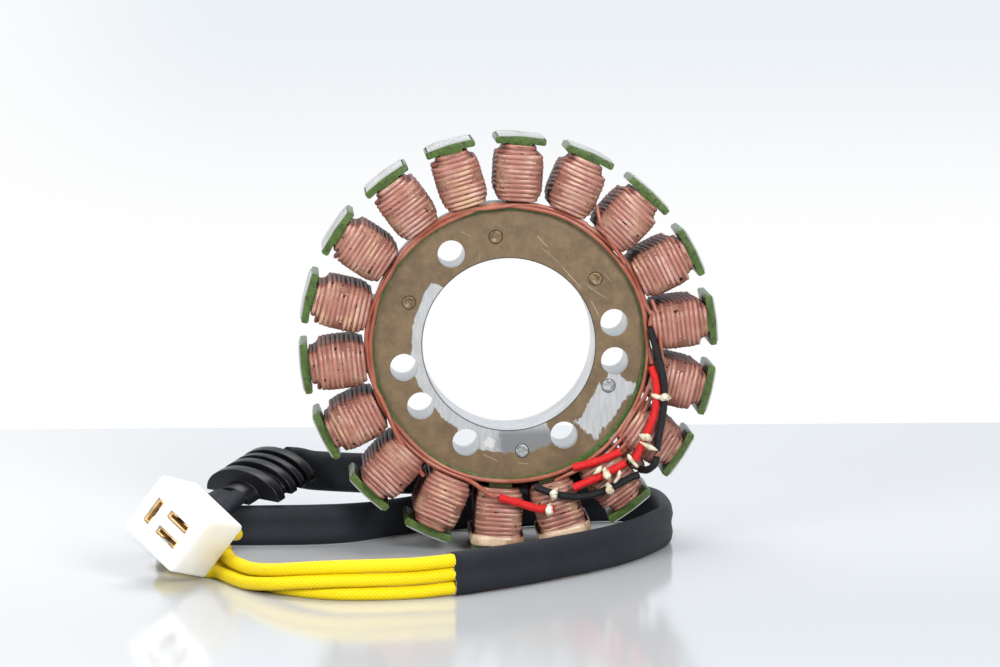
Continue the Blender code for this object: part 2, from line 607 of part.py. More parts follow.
def build_grommet():
    """A half-round rubber grommet with four ribs and a boss at each end."""
    seat, along, across, rise = grommet_frame()

    def half_round(distance, half_width, height, skirt):
        ring = [seat + along * distance - across * half_width - rise * skirt,
                seat + along * distance + across * half_width - rise * skirt]
        for step in range(9):
            angle = math.pi * step / 8
            ring.append(seat + along * distance + across * half_width * math.cos(angle)
                        + rise * height * math.sin(angle))
        return ring

    rib = (GROMMET_HALF_WIDTH, GROMMET_RISE, GROMMET_SKIRT)
    groove = (GROMMET_HALF_WIDTH - GROMMET_GROOVE_DEPTH, GROMMET_RISE - GROMMET_GROOVE_DEPTH,
              GROMMET_SKIRT / 2.0)
    boss = (GROMMET_BOSS_HALF_WIDTH, GROMMET_BOSS_RISE, GROMMET_SKIRT / 2.0)
    rings = [half_round(-GROMMET_FRONT_BOSS, *boss), half_round(0.0, *boss)]
    for start, end in GROMMET_RIBS:
        if start > 0.0:
            rings.append(half_round(start, *groove))
        rings.append(half_round(start, *rib))
        rings.append(half_round(end, *rib))
        if end < GROMMET_RIBS[-1][1]:
            rings.append(half_round(end, *groove))
    last = GROMMET_RIBS[-1][1]
    rings.append(half_round(last, *boss))
    rings.append(half_round(last + GROMMET_REAR_BOSS, *boss))
    add_object("grommet", loft("grommet", rings), "rubber")


def housing_place():
    """The connector's place: X across, Y from its face to its wires, Z up its face."""
    pitch, roll, yaw = HOUSING_TURN
    turn = Matrix.Rotation(yaw, 4, "Z") @ Matrix.Rotation(pitch, 4, "X") @ Matrix.Rotation(roll, 4, "Y")
    return Matrix.Translation(HOUSING_FACE_CENTRE) @ turn


def box_outline(width, height, edge):
    """A rectangle with its corners cut off."""
    w = width / 2.0
    h = height / 2.0
    return [(-w + edge, -h), (w - edge, -h), (w, -h + edge), (w, h - edge),
            (w - edge, h), (-w + edge, h), (-w, h - edge), (-w, -h + edge)]


def build_connector():
    """The nylon housing with a cavity for each terminal and a socket for each wire."""
    place = housing_place()
    housing_rings = []
    for y, inset in ((0.0, HOUSING_EDGE / 2.0), (HOUSING_EDGE / 2.0, 0.0),
                     (HOUSING_LENGTH - HOUSING_EDGE / 2.0, 0.0), (HOUSING_LENGTH, HOUSING_EDGE / 2.0)):
        outline = box_outline(HOUSING_WIDTH - 2 * inset, HOUSING_HEIGHT - 2 * inset, HOUSING_EDGE)
        housing_rings.append([(x, y, z) for x, z in outline])
    housing = add_object("connector_housing", loft("housing", housing_rings), "nylon")
    housing.matrix_world = place
    cavity_depth = TERMINAL_SETBACK + TERMINAL_LENGTH + GAP
    beyond = HOUSING_EDGE
    for number, (x, z, degrees) in enumerate(TERMINAL_PLACES, start=1):
        spot = place @ Matrix.Translation((x, 0.0, z)) @ Matrix.Rotation(math.radians(degrees), 4, "Y")
        cavity = box_outline(TERMINAL_WIDTH + 2 * GAP, TERMINAL_HEIGHT + 2 * GAP, GAP)
        cutter = add_cutter("cavity_cutter", extrude_outline("cavity", cavity, -beyond, cavity_depth))
        cutter.matrix_world = spot
        cut(housing, cutter)
        socket = cylinder_mesh("socket", YELLOW_WIRE_DIAMETER / 2.0 + GAP,
                               HOUSING_LENGTH - WIRE_SOCKET_DEPTH, HOUSING_LENGTH + beyond, 12)
        cutter = add_cutter("socket_cutter", socket)
        cutter.matrix_world = place @ Matrix.Translation((x, 0.0, z))
        cut(housing, cutter)
        terminal = add_object(f"terminal_{number}", terminal_mesh(), "brass")
        terminal.matrix_world = spot


def terminal_mesh():
    """A blade receptacle: a sheet with both its edges rolled inwards."""
    w = TERMINAL_WIDTH / 2.0
    h = TERMINAL_HEIGHT / 2.0
    s = TERMINAL_SHEET
    lip = w * 0.35
    outline = [(-w, -h), (w, -h), (w, h), (lip, h), (lip, h - s), (w - s, h - s), (w - s, -h + s),
               (-w + s, -h + s), (-w + s, h - s), (-lip, h - s), (-lip, h), (-w, h)]
    return extrude_outline("terminal", outline, TERMINAL_SETBACK, TERMINAL_SETBACK + TERMINAL_LENGTH)


def main():
    clear_scene()
    build_stack()
    build_rivets()
    build_coat()
    build_coils()
    build_tapes()
    build_crossovers()
    routes = build_lead_sleeves()
    build_ties(routes)
    build_harness(routes["black", 1][0][-1])
    build_grommet()
    build_connector()


main()
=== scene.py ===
"""Looks of a wound stator: varnished coils, sleeved leads, a flat woven harness and its connector."""
import json
import math
import random

import bpy
import numpy as np
from mathutils import Matrix, Vector

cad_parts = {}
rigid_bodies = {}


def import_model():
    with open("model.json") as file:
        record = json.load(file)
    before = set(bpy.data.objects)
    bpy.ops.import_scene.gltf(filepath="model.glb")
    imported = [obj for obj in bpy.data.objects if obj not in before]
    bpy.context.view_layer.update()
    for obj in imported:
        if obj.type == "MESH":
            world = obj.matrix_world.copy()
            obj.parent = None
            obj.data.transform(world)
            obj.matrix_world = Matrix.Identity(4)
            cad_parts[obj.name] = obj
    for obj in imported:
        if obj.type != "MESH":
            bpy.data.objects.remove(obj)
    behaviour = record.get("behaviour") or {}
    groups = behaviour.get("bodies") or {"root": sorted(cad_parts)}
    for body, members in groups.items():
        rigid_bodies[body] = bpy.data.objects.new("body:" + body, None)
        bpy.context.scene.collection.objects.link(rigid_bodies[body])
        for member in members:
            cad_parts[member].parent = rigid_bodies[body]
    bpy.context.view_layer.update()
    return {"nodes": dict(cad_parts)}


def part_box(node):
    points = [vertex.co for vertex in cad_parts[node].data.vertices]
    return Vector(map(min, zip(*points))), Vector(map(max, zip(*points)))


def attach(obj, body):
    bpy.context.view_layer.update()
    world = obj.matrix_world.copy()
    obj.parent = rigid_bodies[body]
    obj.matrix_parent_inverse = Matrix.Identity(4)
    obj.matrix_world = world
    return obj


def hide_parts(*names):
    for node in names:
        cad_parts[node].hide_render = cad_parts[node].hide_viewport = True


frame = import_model()

bl_info = {
    "name": "Wound Stator Looks",
    "version": (1, 0, 0),
    "blender": (4, 5, 0),
    "location": "View3D > Sidebar > Stator",
    "description": "Dresses the wound stator and its harness with wire, weave and finishes",
    "category": "Object",
}

# Centre of the stator, on its axis
STACK_LOW, STACK_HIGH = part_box("lamination_stack")
OUTER_RADIUS = (STACK_HIGH[2] - STACK_LOW[2]) / 2.0
STACK_HEIGHT = STACK_HIGH[1] - STACK_LOW[1]
CENTRE = Vector((0.0, 0.0, OUTER_RADIUS))
POLE_COUNT = 18
FIRST_POLE_ANGLE = 6.6
HOLE_CIRCLE = 0.0307
HOLE_ANGLES = (11.4, 122.3, 192.2, 214.9, 246.5, 301.1, 350.8)
RIVET_CIRCLE = 0.0310
HOLE_RADIUS = 0.0039
RIVET_HOLE_RADIUS = 0.00205

# Faces nearer to the axis than this are the machined bore
BORE_EDGE_RADIUS = 0.0362

# Edges of the coat past both of these are the ends of its caps
CAP_INNER_RADIUS = 0.0540
CAP_HALF_CHORD = 0.0055
RIVET_ANGLES = (37.0, 97.0, 157.0, 277.0, 337.0)
TAPE_POLES = (13, 14)

# Middle of the flat sleeves: x, y, z in millimetres, and roll in degrees from standing on edge
REAR_SLEEVE_ROUTE = (
    (32.5, 19.3, 21.6, 0), (24, 19.2, 20.6, 0), (12, 19.2, 19.6, 0), (0, 19.3, 18.8, 0),
    (-12, 19.8, 18.3, 0), (-24, 21.0, 18.0, 0), (-34, 22.9, 17.9, 0), (-44, 25.6, 17.9, 0),
    (-52, 28.0, 18.0, 0), (-57, 28.9, 18.3, 0), (-60.6, 28.4, 19.2, 0), (-64.0, 25.5, 19.9, 0),
)
FRONT_SLEEVE_ROUTE = (
    (-80.1, 4.3, 14.45, 90), (-83.2, 0.0, 13.2, 84), (-87.2, -5.4, 11.6, 60),
    (-92.2, -9.6, 9.8, 35), (-97.2, -8.8, 8.0, 15), (-99.0, -3.8, 6.8, 4), (-96.6, 1.2, 6.2, 0),
    (-91.0, 3.9, 6.0, 0), (-84, 4.2, 6.0, 0), (-76, 3.8, 6.0, 0), (-66, 3.8, 6.0, 0),
    (-55, 4.4, 6.0, 0), (-46, 6.6, 6.0, 6), (-38.6, 11.4, 5.9, 14), (-31.2, 18.5, 5.8, 16),
    (-24, 24.2, 5.8, 14), (-14, 28.6, 5.9, 6), (-4, 30.6, 6.0, 0), (8, 33.4, 6.0, 0),
    (18, 37.4, 6.0, 0), (27, 41.0, 6.0, 0), (35.5, 41.4, 6.0, 0), (42.0, 36.4, 6.0, 0),
    (45.6, 28.0, 6.0, 0), (46.6, 18.0, 6.0, 0), (46.6, 8.0, 6.0, 0), (45.4, -2.0, 6.0, 0),
    (41.4, -12.6, 6.0, 0), (35.7, -23.8, 6.0, 0), (29.1, -34.2, 6.0, 0), (21.5, -43.6, 6.0, 2),
    (11.5, -53.8, 6.0, 4), (0.0, -64.4, 6.0, 6), (-9.8, -72.3, 6.0, 8), (-19.2, -78.4, 6.0, 10),
)
# Middle of the three yellow wires as a bunch, and each wire's place in it to the left and its height
BUNCH_ROUTE = (
    (-20.0, -78.8, 0.0, 9.6, 0.0, 5.9, 0.0, 2.1), (-29.0, -82.0, 0.0, 9.3, 0.1, 5.6, 0.0, 1.8),
    (-39.0, -83.7, 0.0, 9.3, 0.3, 5.6, 0.0, 1.8), (-49.3, -83.6, 0.2, 9.1, 0.8, 5.5, -0.4, 1.8),
    (-58.6, -80.4, 0.3, 8.2, 1.5, 4.7, -1.2, 1.8), (-66.4, -74.6, 0.2, 6.8, 2.0, 3.3, -1.7, 1.8),
    (-72.6, -66.0, 0.0, 5.6, 2.0, 2.0, -1.9, 1.8), (-76.9, -56.6, 0.0, 5.4, 2.1, 1.8, -2.0, 1.8),
    (-80.3, -48.9, -0.6, 5.6, 2.1, 1.8, -2.0, 1.8), (-82.6, -45.6, -3.3, 5.4, 3.1, 1.8, -0.6, 1.8),
    (-86.0, -42.2, -4.0, 2.3, 3.3, 2.6, 0.0, 1.8), (-91.0, -38.9, -4.0, 2.0, 3.2, 3.8, 0.0, 1.9),
    (-95.2, -34.3, -3.8, 2.1, 3.0, 4.4, 0.0, 2.2), (-96.2, -28.8, -3.7, 3.5, 3.0, 5.0, 0.0, 2.5),
    (-93.8, -23.9, -3.0, 5.6, 3.3, 5.6, 0.0, 3.0), (-88.8, -22.0, -2.4, 7.8, 3.3, 6.6, 0.0, 3.7),
    (-83.8, -23.9, -2.8, 9.8, 3.0, 7.8, 0.0, 4.5), (-81.2, -28.6, -3.5, 11.3, 2.8, 9.0, -0.2, 5.3),
)
WIRE_STRAIGHT_RUN = 0.0140

# Connector's place and its terminals: x and z on its face in metres, and turn in degrees
HOUSING_FACE_CENTRE = (-0.09615, -0.06445, 0.01818)
HOUSING_TURN = (math.radians(-14.3), math.radians(35.1), math.radians(-27.1))
HOUSING_WIDTH = 0.0201
HOUSING_HEIGHT = 0.0184
HOUSING_LENGTH = 0.0202
TERMINAL_PLACES = ((-0.0053, 0.0, 90.0), (0.0026, 0.0025, 0.0), (0.0026, -0.0028, 180.0))

# Grommet's place, as in the frame
GROMMET_SEAT = (-0.0765, 0.0090, 0.0139)
GROMMET_AXIS = (0.580, 0.774, 0.254)
GROMMET_CHORD = (0.810, -0.584, -0.070)

# Leads in front of the coils: x, y and height above the stator's axis, in millimetres
RED_SLEEVE_ROUTES = (
    ((40.4, -15.4, -6.0), (41.7, -17.0, -11.0), (41.2, -17.8, -18.4), (38.7, -17.8, -25.4),
     (35.6, -17.8, -32.4)),
    ((18.0, -15.6, -34.9), (25.4, -15.7, -32.9), (31.6, -15.8, -30.3)),
    ((18.0, -17.8, -40.4), (22.6, -17.8, -38.4), (27.6, -17.8, -36.2), (32.9, -17.8, -33.2)),
    ((-3.2, -17.8, -43.0), (2.6, -17.8, -44.6), (7.7, -17.8, -46.2), (12.6, -17.8, -46.5)),
)
BLACK_SLEEVE_ROUTES = (
    ((40.0, -14.4, 4.8), (41.2, -15.8, 0.6), (42.6, -17.3, -4.6), (43.7, -17.8, -10.2),
     (43.8, -17.8, -15.2), (43.2, -17.8, -21.2), (42.2, -17.8, -26.8), (41.8, -17.8, -29.8)),
    ((41.8, -17.9, -31.4), (41.2, -18.0, -33.6), (39.6, -16.8, -35.3), (38.0, -13.2, -36.0),
     (37.7, -7.0, -36.0), (37.7, 0.0, -36.0), (37.7, 7.0, -36.0), (37.6, 13.0, -36.0),
     (37.3, 17.0, -36.4), (35.9, 19.1, -37.4), (33.0, 19.3, -38.4)),
    ((7.0, -15.8, -40.2), (13.2, -17.7, -42.2), (20.6, -17.7, -42.8), (28.0, -17.7, -40.8),
     (33.7, -17.8, -37.8), (36.9, -17.9, -36.6)),
)
TIES = (("black", 2, 0.20), ("red", 3, 0.90), ("red", 2, 0.62), ("black", 2, 0.70),
        ("black", 0, 0.56), ("red", 0, 0.74))
# Thin strings of lacing cord between the leads, in millimetres about the axis
STRINGS = (
    ((36.6, -19.0, -26.9), (39.2, -19.5, -28.3), (41.9, -19.1, -29.6)),
    ((26.0, -18.7, -33.9), (25.0, -19.0, -35.2), (23.6, -19.0, -36.3)),
    ((39.9, -18.7, -13.5), (42.2, -19.1, -14.3), (44.6, -18.7, -14.4)),
    ((33.4, -18.9, -30.6), (34.6, -19.3, -32.6), (36.4, -19.1, -34.4)),
    ((29.4, -18.6, -39.0), (30.7, -19.1, -37.2), (31.2, -18.9, -35.2)),
)
# Loose bare wires beside the leads, in millimetres about the axis
LOOSE_WIRES = (
    ((40.9, -13.2, -8.5), (39.1, -14.0, -13.7), (36.9, -14.0, -17.2), (34.4, -13.4, -21.2),
     (31.6, -12.6, -26.5)),
    ((41.6, -12.6, -13.0), (38.6, -13.6, -18.7), (36.3, -13.8, -22.6), (34.4, -13.2, -26.5),
     (32.2, -12.4, -31.0)),
    ((38.6, -12.4, 7.5), (39.5, -12.4, 0.0), (39.2, -12.4, -6.7), (37.9, -12.4, -12.7),
     (35.6, -12.4, -18.3), (32.5, -12.4, -23.3), (29.0, -12.4, -27.9), (24.8, -12.4, -31.7),
     (20.4, -12.4, -34.9)),
    ((39.6, -12.6, -12.0), (37.6, -12.5, -18.6), (34.4, -12.4, -24.2), (30.6, -12.4, -28.8),
     (26.2, -12.5, -33.0), (21.0, -12.8, -36.6)),
    ((13.2, -13.2, -39.0), (17.1, -14.5, -36.8), (20.2, -15.0, -35.3), (22.6, -14.4, -34.6)),
    ((-35.3, -12.6, -17.7), (-32.2, -13.6, -25.1), (-28.5, -13.6, -31.8), (-24.5, -12.4, -37.4)),
    ((40.6, -12.6, 12.8), (42.4, -14.0, 7.8), (42.9, -14.8, 2.2), (43.2, -15.2, -1.8),
     (44.0, -15.4, -5.8)),
    ((24.8, -12.0, 40.0), (26.2, -13.6, 34.1), (29.0, -13.9, 29.3), (33.0, -12.6, 23.4)),
    ((26.4, -12.9, -33.8), (30.2, -13.4, -31.2), (33.6, -13.4, -28.0), (36.2, -12.9, -24.2)),
    ((27.4, -11.7, -35.0), (31.2, -12.1, -32.2), (34.6, -12.1, -28.8), (37.4, -11.7, -24.6)),
    ((29.0, -12.4, -36.2), (32.6, -13.2, -33.6), (35.8, -13.2, -30.2), (38.2, -12.4, -26.4)),
    ((36.4, -12.0, -29.5), (35.6, -8.0, -31.6), (35.0, -2.0, -32.4), (34.6, 5.0, -32.6)),
    ((37.9, -12.6, -31.0), (37.2, -8.6, -33.2), (36.6, -3.0, -34.4), (36.0, 4.0, -34.8)),
)
# Dark lumps of varnish in the gaps between the leads and the coils, which also stand in as painted shade
# there, in millimetres about the axis
VARNISH_AND_SHADE_DROPS = (
    ((31.6, -9.0, -26.2), (33.8, -9.4, -29.6), (34.6, -9.6, -33.2), (35.2, -9.6, -36.4)),
    ((33.6, -10.6, -30.6), (36.2, -10.8, -33.8), (38.6, -10.8, -36.2)),
)
# Long scratches on the front face, in millimetres about the axis: start, end and half width
SCRATCHES = (
    (14.8, 22.7, 20.9, 15.5, 0.10), (21.6, 16.9, 28.1, 12.9, 0.07), (23.1, 12.6, 25.9, 7.7, 0.09),
    (-7.7, -31.5, -2.7, -34.0, 0.08), (7.9, 31.3, 11.3, 27.6, 0.09), (9.0, 28.0, 14.4, 23.4, 0.05),
    (-14.0, 32.6, -10.6, 31.0, 0.05), (27.0, 20.4, 29.2, 17.6, 0.05), (2.0, -34.2, 6.0, -34.6, 0.06),
)
# Bare wires round the yoke: radius, start and end angle, and where each one lifts to its lead
CROSSOVERS = (
    ("crossover_inner", 0.0393, 47.2, 300.0, ()),
    ("crossover_outer", 0.0408, 57.2, 252.0,
     ((-9.6, -12.6, -40.0), (-7.6, -15.2, -41.3), (-5.6, -17.3, -42.3), (-3.8, -17.7, -42.8))),
    ("crossover_right_outer", 0.0408, 58.0, 16.0,
     ((40.7, -11.9, 8.6), (40.3, -13.2, 7.0), (40.0, -14.2, 5.4))),
    ("crossover_right_inner", 0.0393, 48.0, 2.0,
     ((40.1, -12.6, -1.8), (40.5, -14.2, -4.0), (40.5, -15.2, -5.4))),
)

# How far the crossovers' middle stands in front of the stack
CROSSOVER_RISE = 0.0017

# Centre-line of each turn of a coil, from the yoke outwards: half width and half depth
COIL_TURNS = (
    (0.00500, 0.01400), (0.00575, 0.01480), (0.00604, 0.01518), (0.00614, 0.01530),
    (0.00614, 0.01534), (0.00614, 0.01534), (0.00614, 0.01534), (0.00614, 0.01530),
    (0.00608, 0.01518), (0.00588, 0.01490), (0.00430, 0.01350), (0.00400, 0.01310),
)
COIL_START = 0.0412
COIL_REACH = 0.0158
FACE_CROWN = 0.00085


class StatorSizes(bpy.types.PropertyGroup):
    """Sizes of the pieces that the looks add."""
    wire: bpy.props.FloatProperty(
        name="Winding Wire", description="Diameter of the enamelled wire on the coils",
        default=0.00132, min=0.0005, max=0.002, unit="LENGTH")
    red_sleeve: bpy.props.FloatProperty(
        name="Red Sleeve", description="Diameter of the red lead sleeves",
        default=0.0024, min=0.001, max=0.004, unit="LENGTH")
    black_sleeve: bpy.props.FloatProperty(
        name="Black Sleeve", description="Diameter of the black lead sleeves",
        default=0.0022, min=0.001, max=0.004, unit="LENGTH")
    yellow_wire: bpy.props.FloatProperty(
        name="Yellow Wire", description="Diameter of the braided yellow wires",
        default=0.0037, min=0.002, max=0.005, unit="LENGTH")
    flat_width: bpy.props.FloatProperty(
        name="Flat Sleeve Width", description="Width of the flat woven sleeve",
        default=0.0118, min=0.006, max=0.02, unit="LENGTH")
    flat_thickness: bpy.props.FloatProperty(
        name="Flat Sleeve Thickness", description="Thickness of the flat woven sleeve",
        default=0.0046, min=0.002, max=0.008, unit="LENGTH")


class StatorColours(bpy.types.PropertyGroup):
    """Base colours of the finishes."""
    lacquer: bpy.props.FloatVectorProperty(
        name="Baked Lacquer", description="Brown lacquer on the ring's faces",
        default=(0.146, 0.097, 0.050), size=3, subtype="COLOR", min=0.0, max=1.0)
    bare_steel: bpy.props.FloatVectorProperty(
        name="Bare Steel", description="Scraped and machined steel",
        default=(0.46, 0.47, 0.48), size=3, subtype="COLOR", min=0.0, max=1.0)
    coat: bpy.props.FloatVectorProperty(
        name="Insulating Coat", description="Green coat over the teeth",
        default=(0.056, 0.102, 0.020), size=3, subtype="COLOR", min=0.0, max=1.0)
    copper: bpy.props.FloatVectorProperty(
        name="Varnished Copper", description="Winding wire under its varnish",
        default=(0.345, 0.145, 0.112), size=3, subtype="COLOR", min=0.0, max=1.0)
    resin: bpy.props.FloatVectorProperty(
        name="Resin", description="Cream resin that has set between the turns",
        default=(0.58, 0.38, 0.23), size=3, subtype="COLOR", min=0.0, max=1.0)
    crossover: bpy.props.FloatVectorProperty(
        name="Crossover Wire", description="Wire that runs from coil to coil",
        default=(0.29, 0.080, 0.048), size=3, subtype="COLOR", min=0.0, max=1.0)
    red: bpy.props.FloatVectorProperty(
        name="Red Sleeve", description="Red glass sleeve on the leads",
        default=(0.84, 0.010, 0.012), size=3, subtype="COLOR", min=0.0, max=1.0)
    black: bpy.props.FloatVectorProperty(
        name="Black Sleeve", description="Black glass sleeve on the leads",
        default=(0.006, 0.007, 0.009), size=3, subtype="COLOR", min=0.0, max=1.0)
    yellow: bpy.props.FloatVectorProperty(
        name="Yellow Braid", description="Yellow braid of the wires",
        default=(1.0, 0.74, 0.0), size=3, subtype="COLOR", min=0.0, max=1.0)
    flat_sleeve: bpy.props.FloatVectorProperty(
        name="Flat Sleeve", description="Dark weave of the flat sleeve",
        default=(0.010, 0.012, 0.017), size=3, subtype="COLOR", min=0.0, max=1.0)
    nylon: bpy.props.FloatVectorProperty(
        name="Nylon", description="Milky nylon of the connector",
        default=(0.86, 0.86, 0.845), size=3, subtype="COLOR", min=0.0, max=1.0)
    brass: bpy.props.FloatVectorProperty(
        name="Brass", description="Terminals of the connector",
        default=(0.60, 0.38, 0.16), size=3, subtype="COLOR", min=0.0, max=1.0)


def sizes():
    return bpy.context.scene.stator_sizes


def colours():
    return bpy.context.scene.stator_colours


# Finishes

def link_in(tree, value, socket):
    """Puts a number or colour on a socket, or links an output to it."""
    if isinstance(value, bpy.types.NodeSocket):
        tree.links.new(value, socket)
    elif hasattr(socket.default_value, "__len__") and not hasattr(value, "__len__"):
        socket.default_value = (value,) * len(socket.default_value)
    elif hasattr(value, "__len__") and len(value) == 3 and len(socket.default_value) == 4:
        socket.default_value = (*value, 1.0)
    else:
        socket.default_value = value


def calc(tree, operation, first, second=0.0, third=None, clamp=False):
    """A Math node's result."""
    node = tree.nodes.new("ShaderNodeMath")
    node.operation = operation
    node.use_clamp = clamp
    link_in(tree, first, node.inputs[0])
    link_in(tree, second, node.inputs[1])
    if third is not None:
        link_in(tree, third, node.inputs[2])
    return node.outputs[0]


def distance(tree, first, second):
    """Length of a slope from its two legs."""
    return calc(tree, "SQRT", calc(tree, "ADD", calc(tree, "MULTIPLY", first, first),
                                   calc(tree, "MULTIPLY", second, second)))


def scaled(colour, share):
    """A colour made darker or lighter, no part of it past white."""
    return tuple(min(1.0, part * share) for part in colour)


def step_up(tree, value, low, high):
    """0 below low, 1 above high, and smooth between them."""
    node = tree.nodes.new("ShaderNodeMapRange")
    node.interpolation_type = "SMOOTHSTEP"
    link_in(tree, value, node.inputs["Value"])
    node.inputs["From Min"].default_value = low
    node.inputs["From Max"].default_value = high
    return node.outputs["Result"]


def step_down(tree, value, low, high):
    """Falls from one to nothing as a value goes from low to high."""
    return calc(tree, "SUBTRACT", 1.0, step_up(tree, value, low, high))


def blend_colours(tree, share, first, second, blend_type="MIX"):
    """A colour between two others."""
    node = tree.nodes.new("ShaderNodeMix")
    node.data_type = "RGBA"
    node.blend_type = blend_type
    link_in(tree, share, node.inputs[0])
    link_in(tree, first, node.inputs[6])
    link_in(tree, second, node.inputs[7])
    return node.outputs[2]


def noise(tree, where, scale, detail=3.0, roughness=0.5, distortion=0.0):
    """A cloudy pattern."""
    node = tree.nodes.new("ShaderNodeTexNoise")
    node.inputs["Scale"].default_value = scale
    node.inputs["Detail"].default_value = detail
    node.inputs["Roughness"].default_value = roughness
    node.inputs["Distortion"].default_value = distortion
    tree.links.new(where, node.inputs["Vector"])
    return node.outputs["Fac"]


def stretched(tree, where, scale, turn=(0.0, 0.0, 0.0)):
    """Coordinates stretched and turned by a Mapping node."""
    node = tree.nodes.new("ShaderNodeMapping")
    node.inputs["Scale"].default_value = scale
    node.inputs["Rotation"].default_value = turn
    tree.links.new(where, node.inputs["Vector"])
    return node.outputs["Vector"]


def stained(tree, tone, colour, pattern, low, high, share):
    """A tone with a colour laid over it where a pattern rises from low to high."""
    return blend_colours(tree, calc(tree, "MULTIPLY", step_up(tree, pattern, low, high), share),
                         tone, colour)


class Finish:
    """A material in the making, with its shader and its coordinates."""

    def __init__(self, name, roughness=0.5, metallic=0.0, **extra):
        self.material = bpy.data.materials.new(name)
        self.material.use_nodes = True
        self.tree = self.material.node_tree
        self.shader = self.tree.nodes["Principled BSDF"]
        self.shader.inputs["Roughness"].default_value = roughness
        self.shader.inputs["Metallic"].default_value = metallic
        for socket, value in extra.items():
            self.shader.inputs[socket.replace("_", " ")].default_value = value
        where = self.tree.nodes.new("ShaderNodeTexCoord")
        self.place = where.outputs["Object"]
        self.uv = where.outputs["UV"]

    def split(self, vector):
        node = self.tree.nodes.new("ShaderNodeSeparateXYZ")
        self.tree.links.new(vector, node.inputs[0])
        return node.outputs

    def colour(self, value):
        link_in(self.tree, value, self.shader.inputs["Base Color"])

    def set(self, socket, value):
        link_in(self.tree, value, self.shader.inputs[socket])

    def bump(self, height, distance, strength=1.0):
        node = self.tree.nodes.new("ShaderNodeBump")
        node.inputs["Distance"].default_value = distance
        node.inputs["Strength"].default_value = strength
        self.tree.links.new(height, node.inputs["Height"])
        before = self.shader.inputs["Normal"].links
        if before:
            self.tree.links.new(before[0].from_socket, node.inputs["Normal"])
        self.tree.links.new(node.outputs["Normal"], self.shader.inputs["Normal"])


def scratch_marks(tree, x, height, cloud):
    """Long scratches, each a short line with soft ends."""
    marks = 0.0
    for x0, h0, x1, h1, half in SCRATCHES:
        span = math.hypot(x1 - x0, h1 - h0)
        dx, dh = (x1 - x0) / span, (h1 - h0) / span
        mx, mh = (x0 + x1) / 2000.0, (h0 + h1) / 2000.0
        run = calc(tree, "MULTIPLY_ADD", x, dx,
                   calc(tree, "MULTIPLY_ADD", height, dh, -(mx * dx + mh * dh)))
        off = calc(tree, "MULTIPLY_ADD", x, -dh,
                   calc(tree, "MULTIPLY_ADD", height, dx, mx * dh - mh * dx))
        off = calc(tree, "ADD", off, calc(tree, "MULTIPLY", calc(tree, "SUBTRACT", cloud, 0.5), 0.0012))
        thin = step_down(tree, calc(tree, "ABSOLUTE", off), half * 0.0004, half * 0.0016)
        ends = step_down(tree, calc(tree, "ABSOLUTE", run), span * 0.00030, span * 0.00052)
        marks = calc(tree, "MAXIMUM", marks, calc(tree, "MULTIPLY", thin, ends))
    return marks


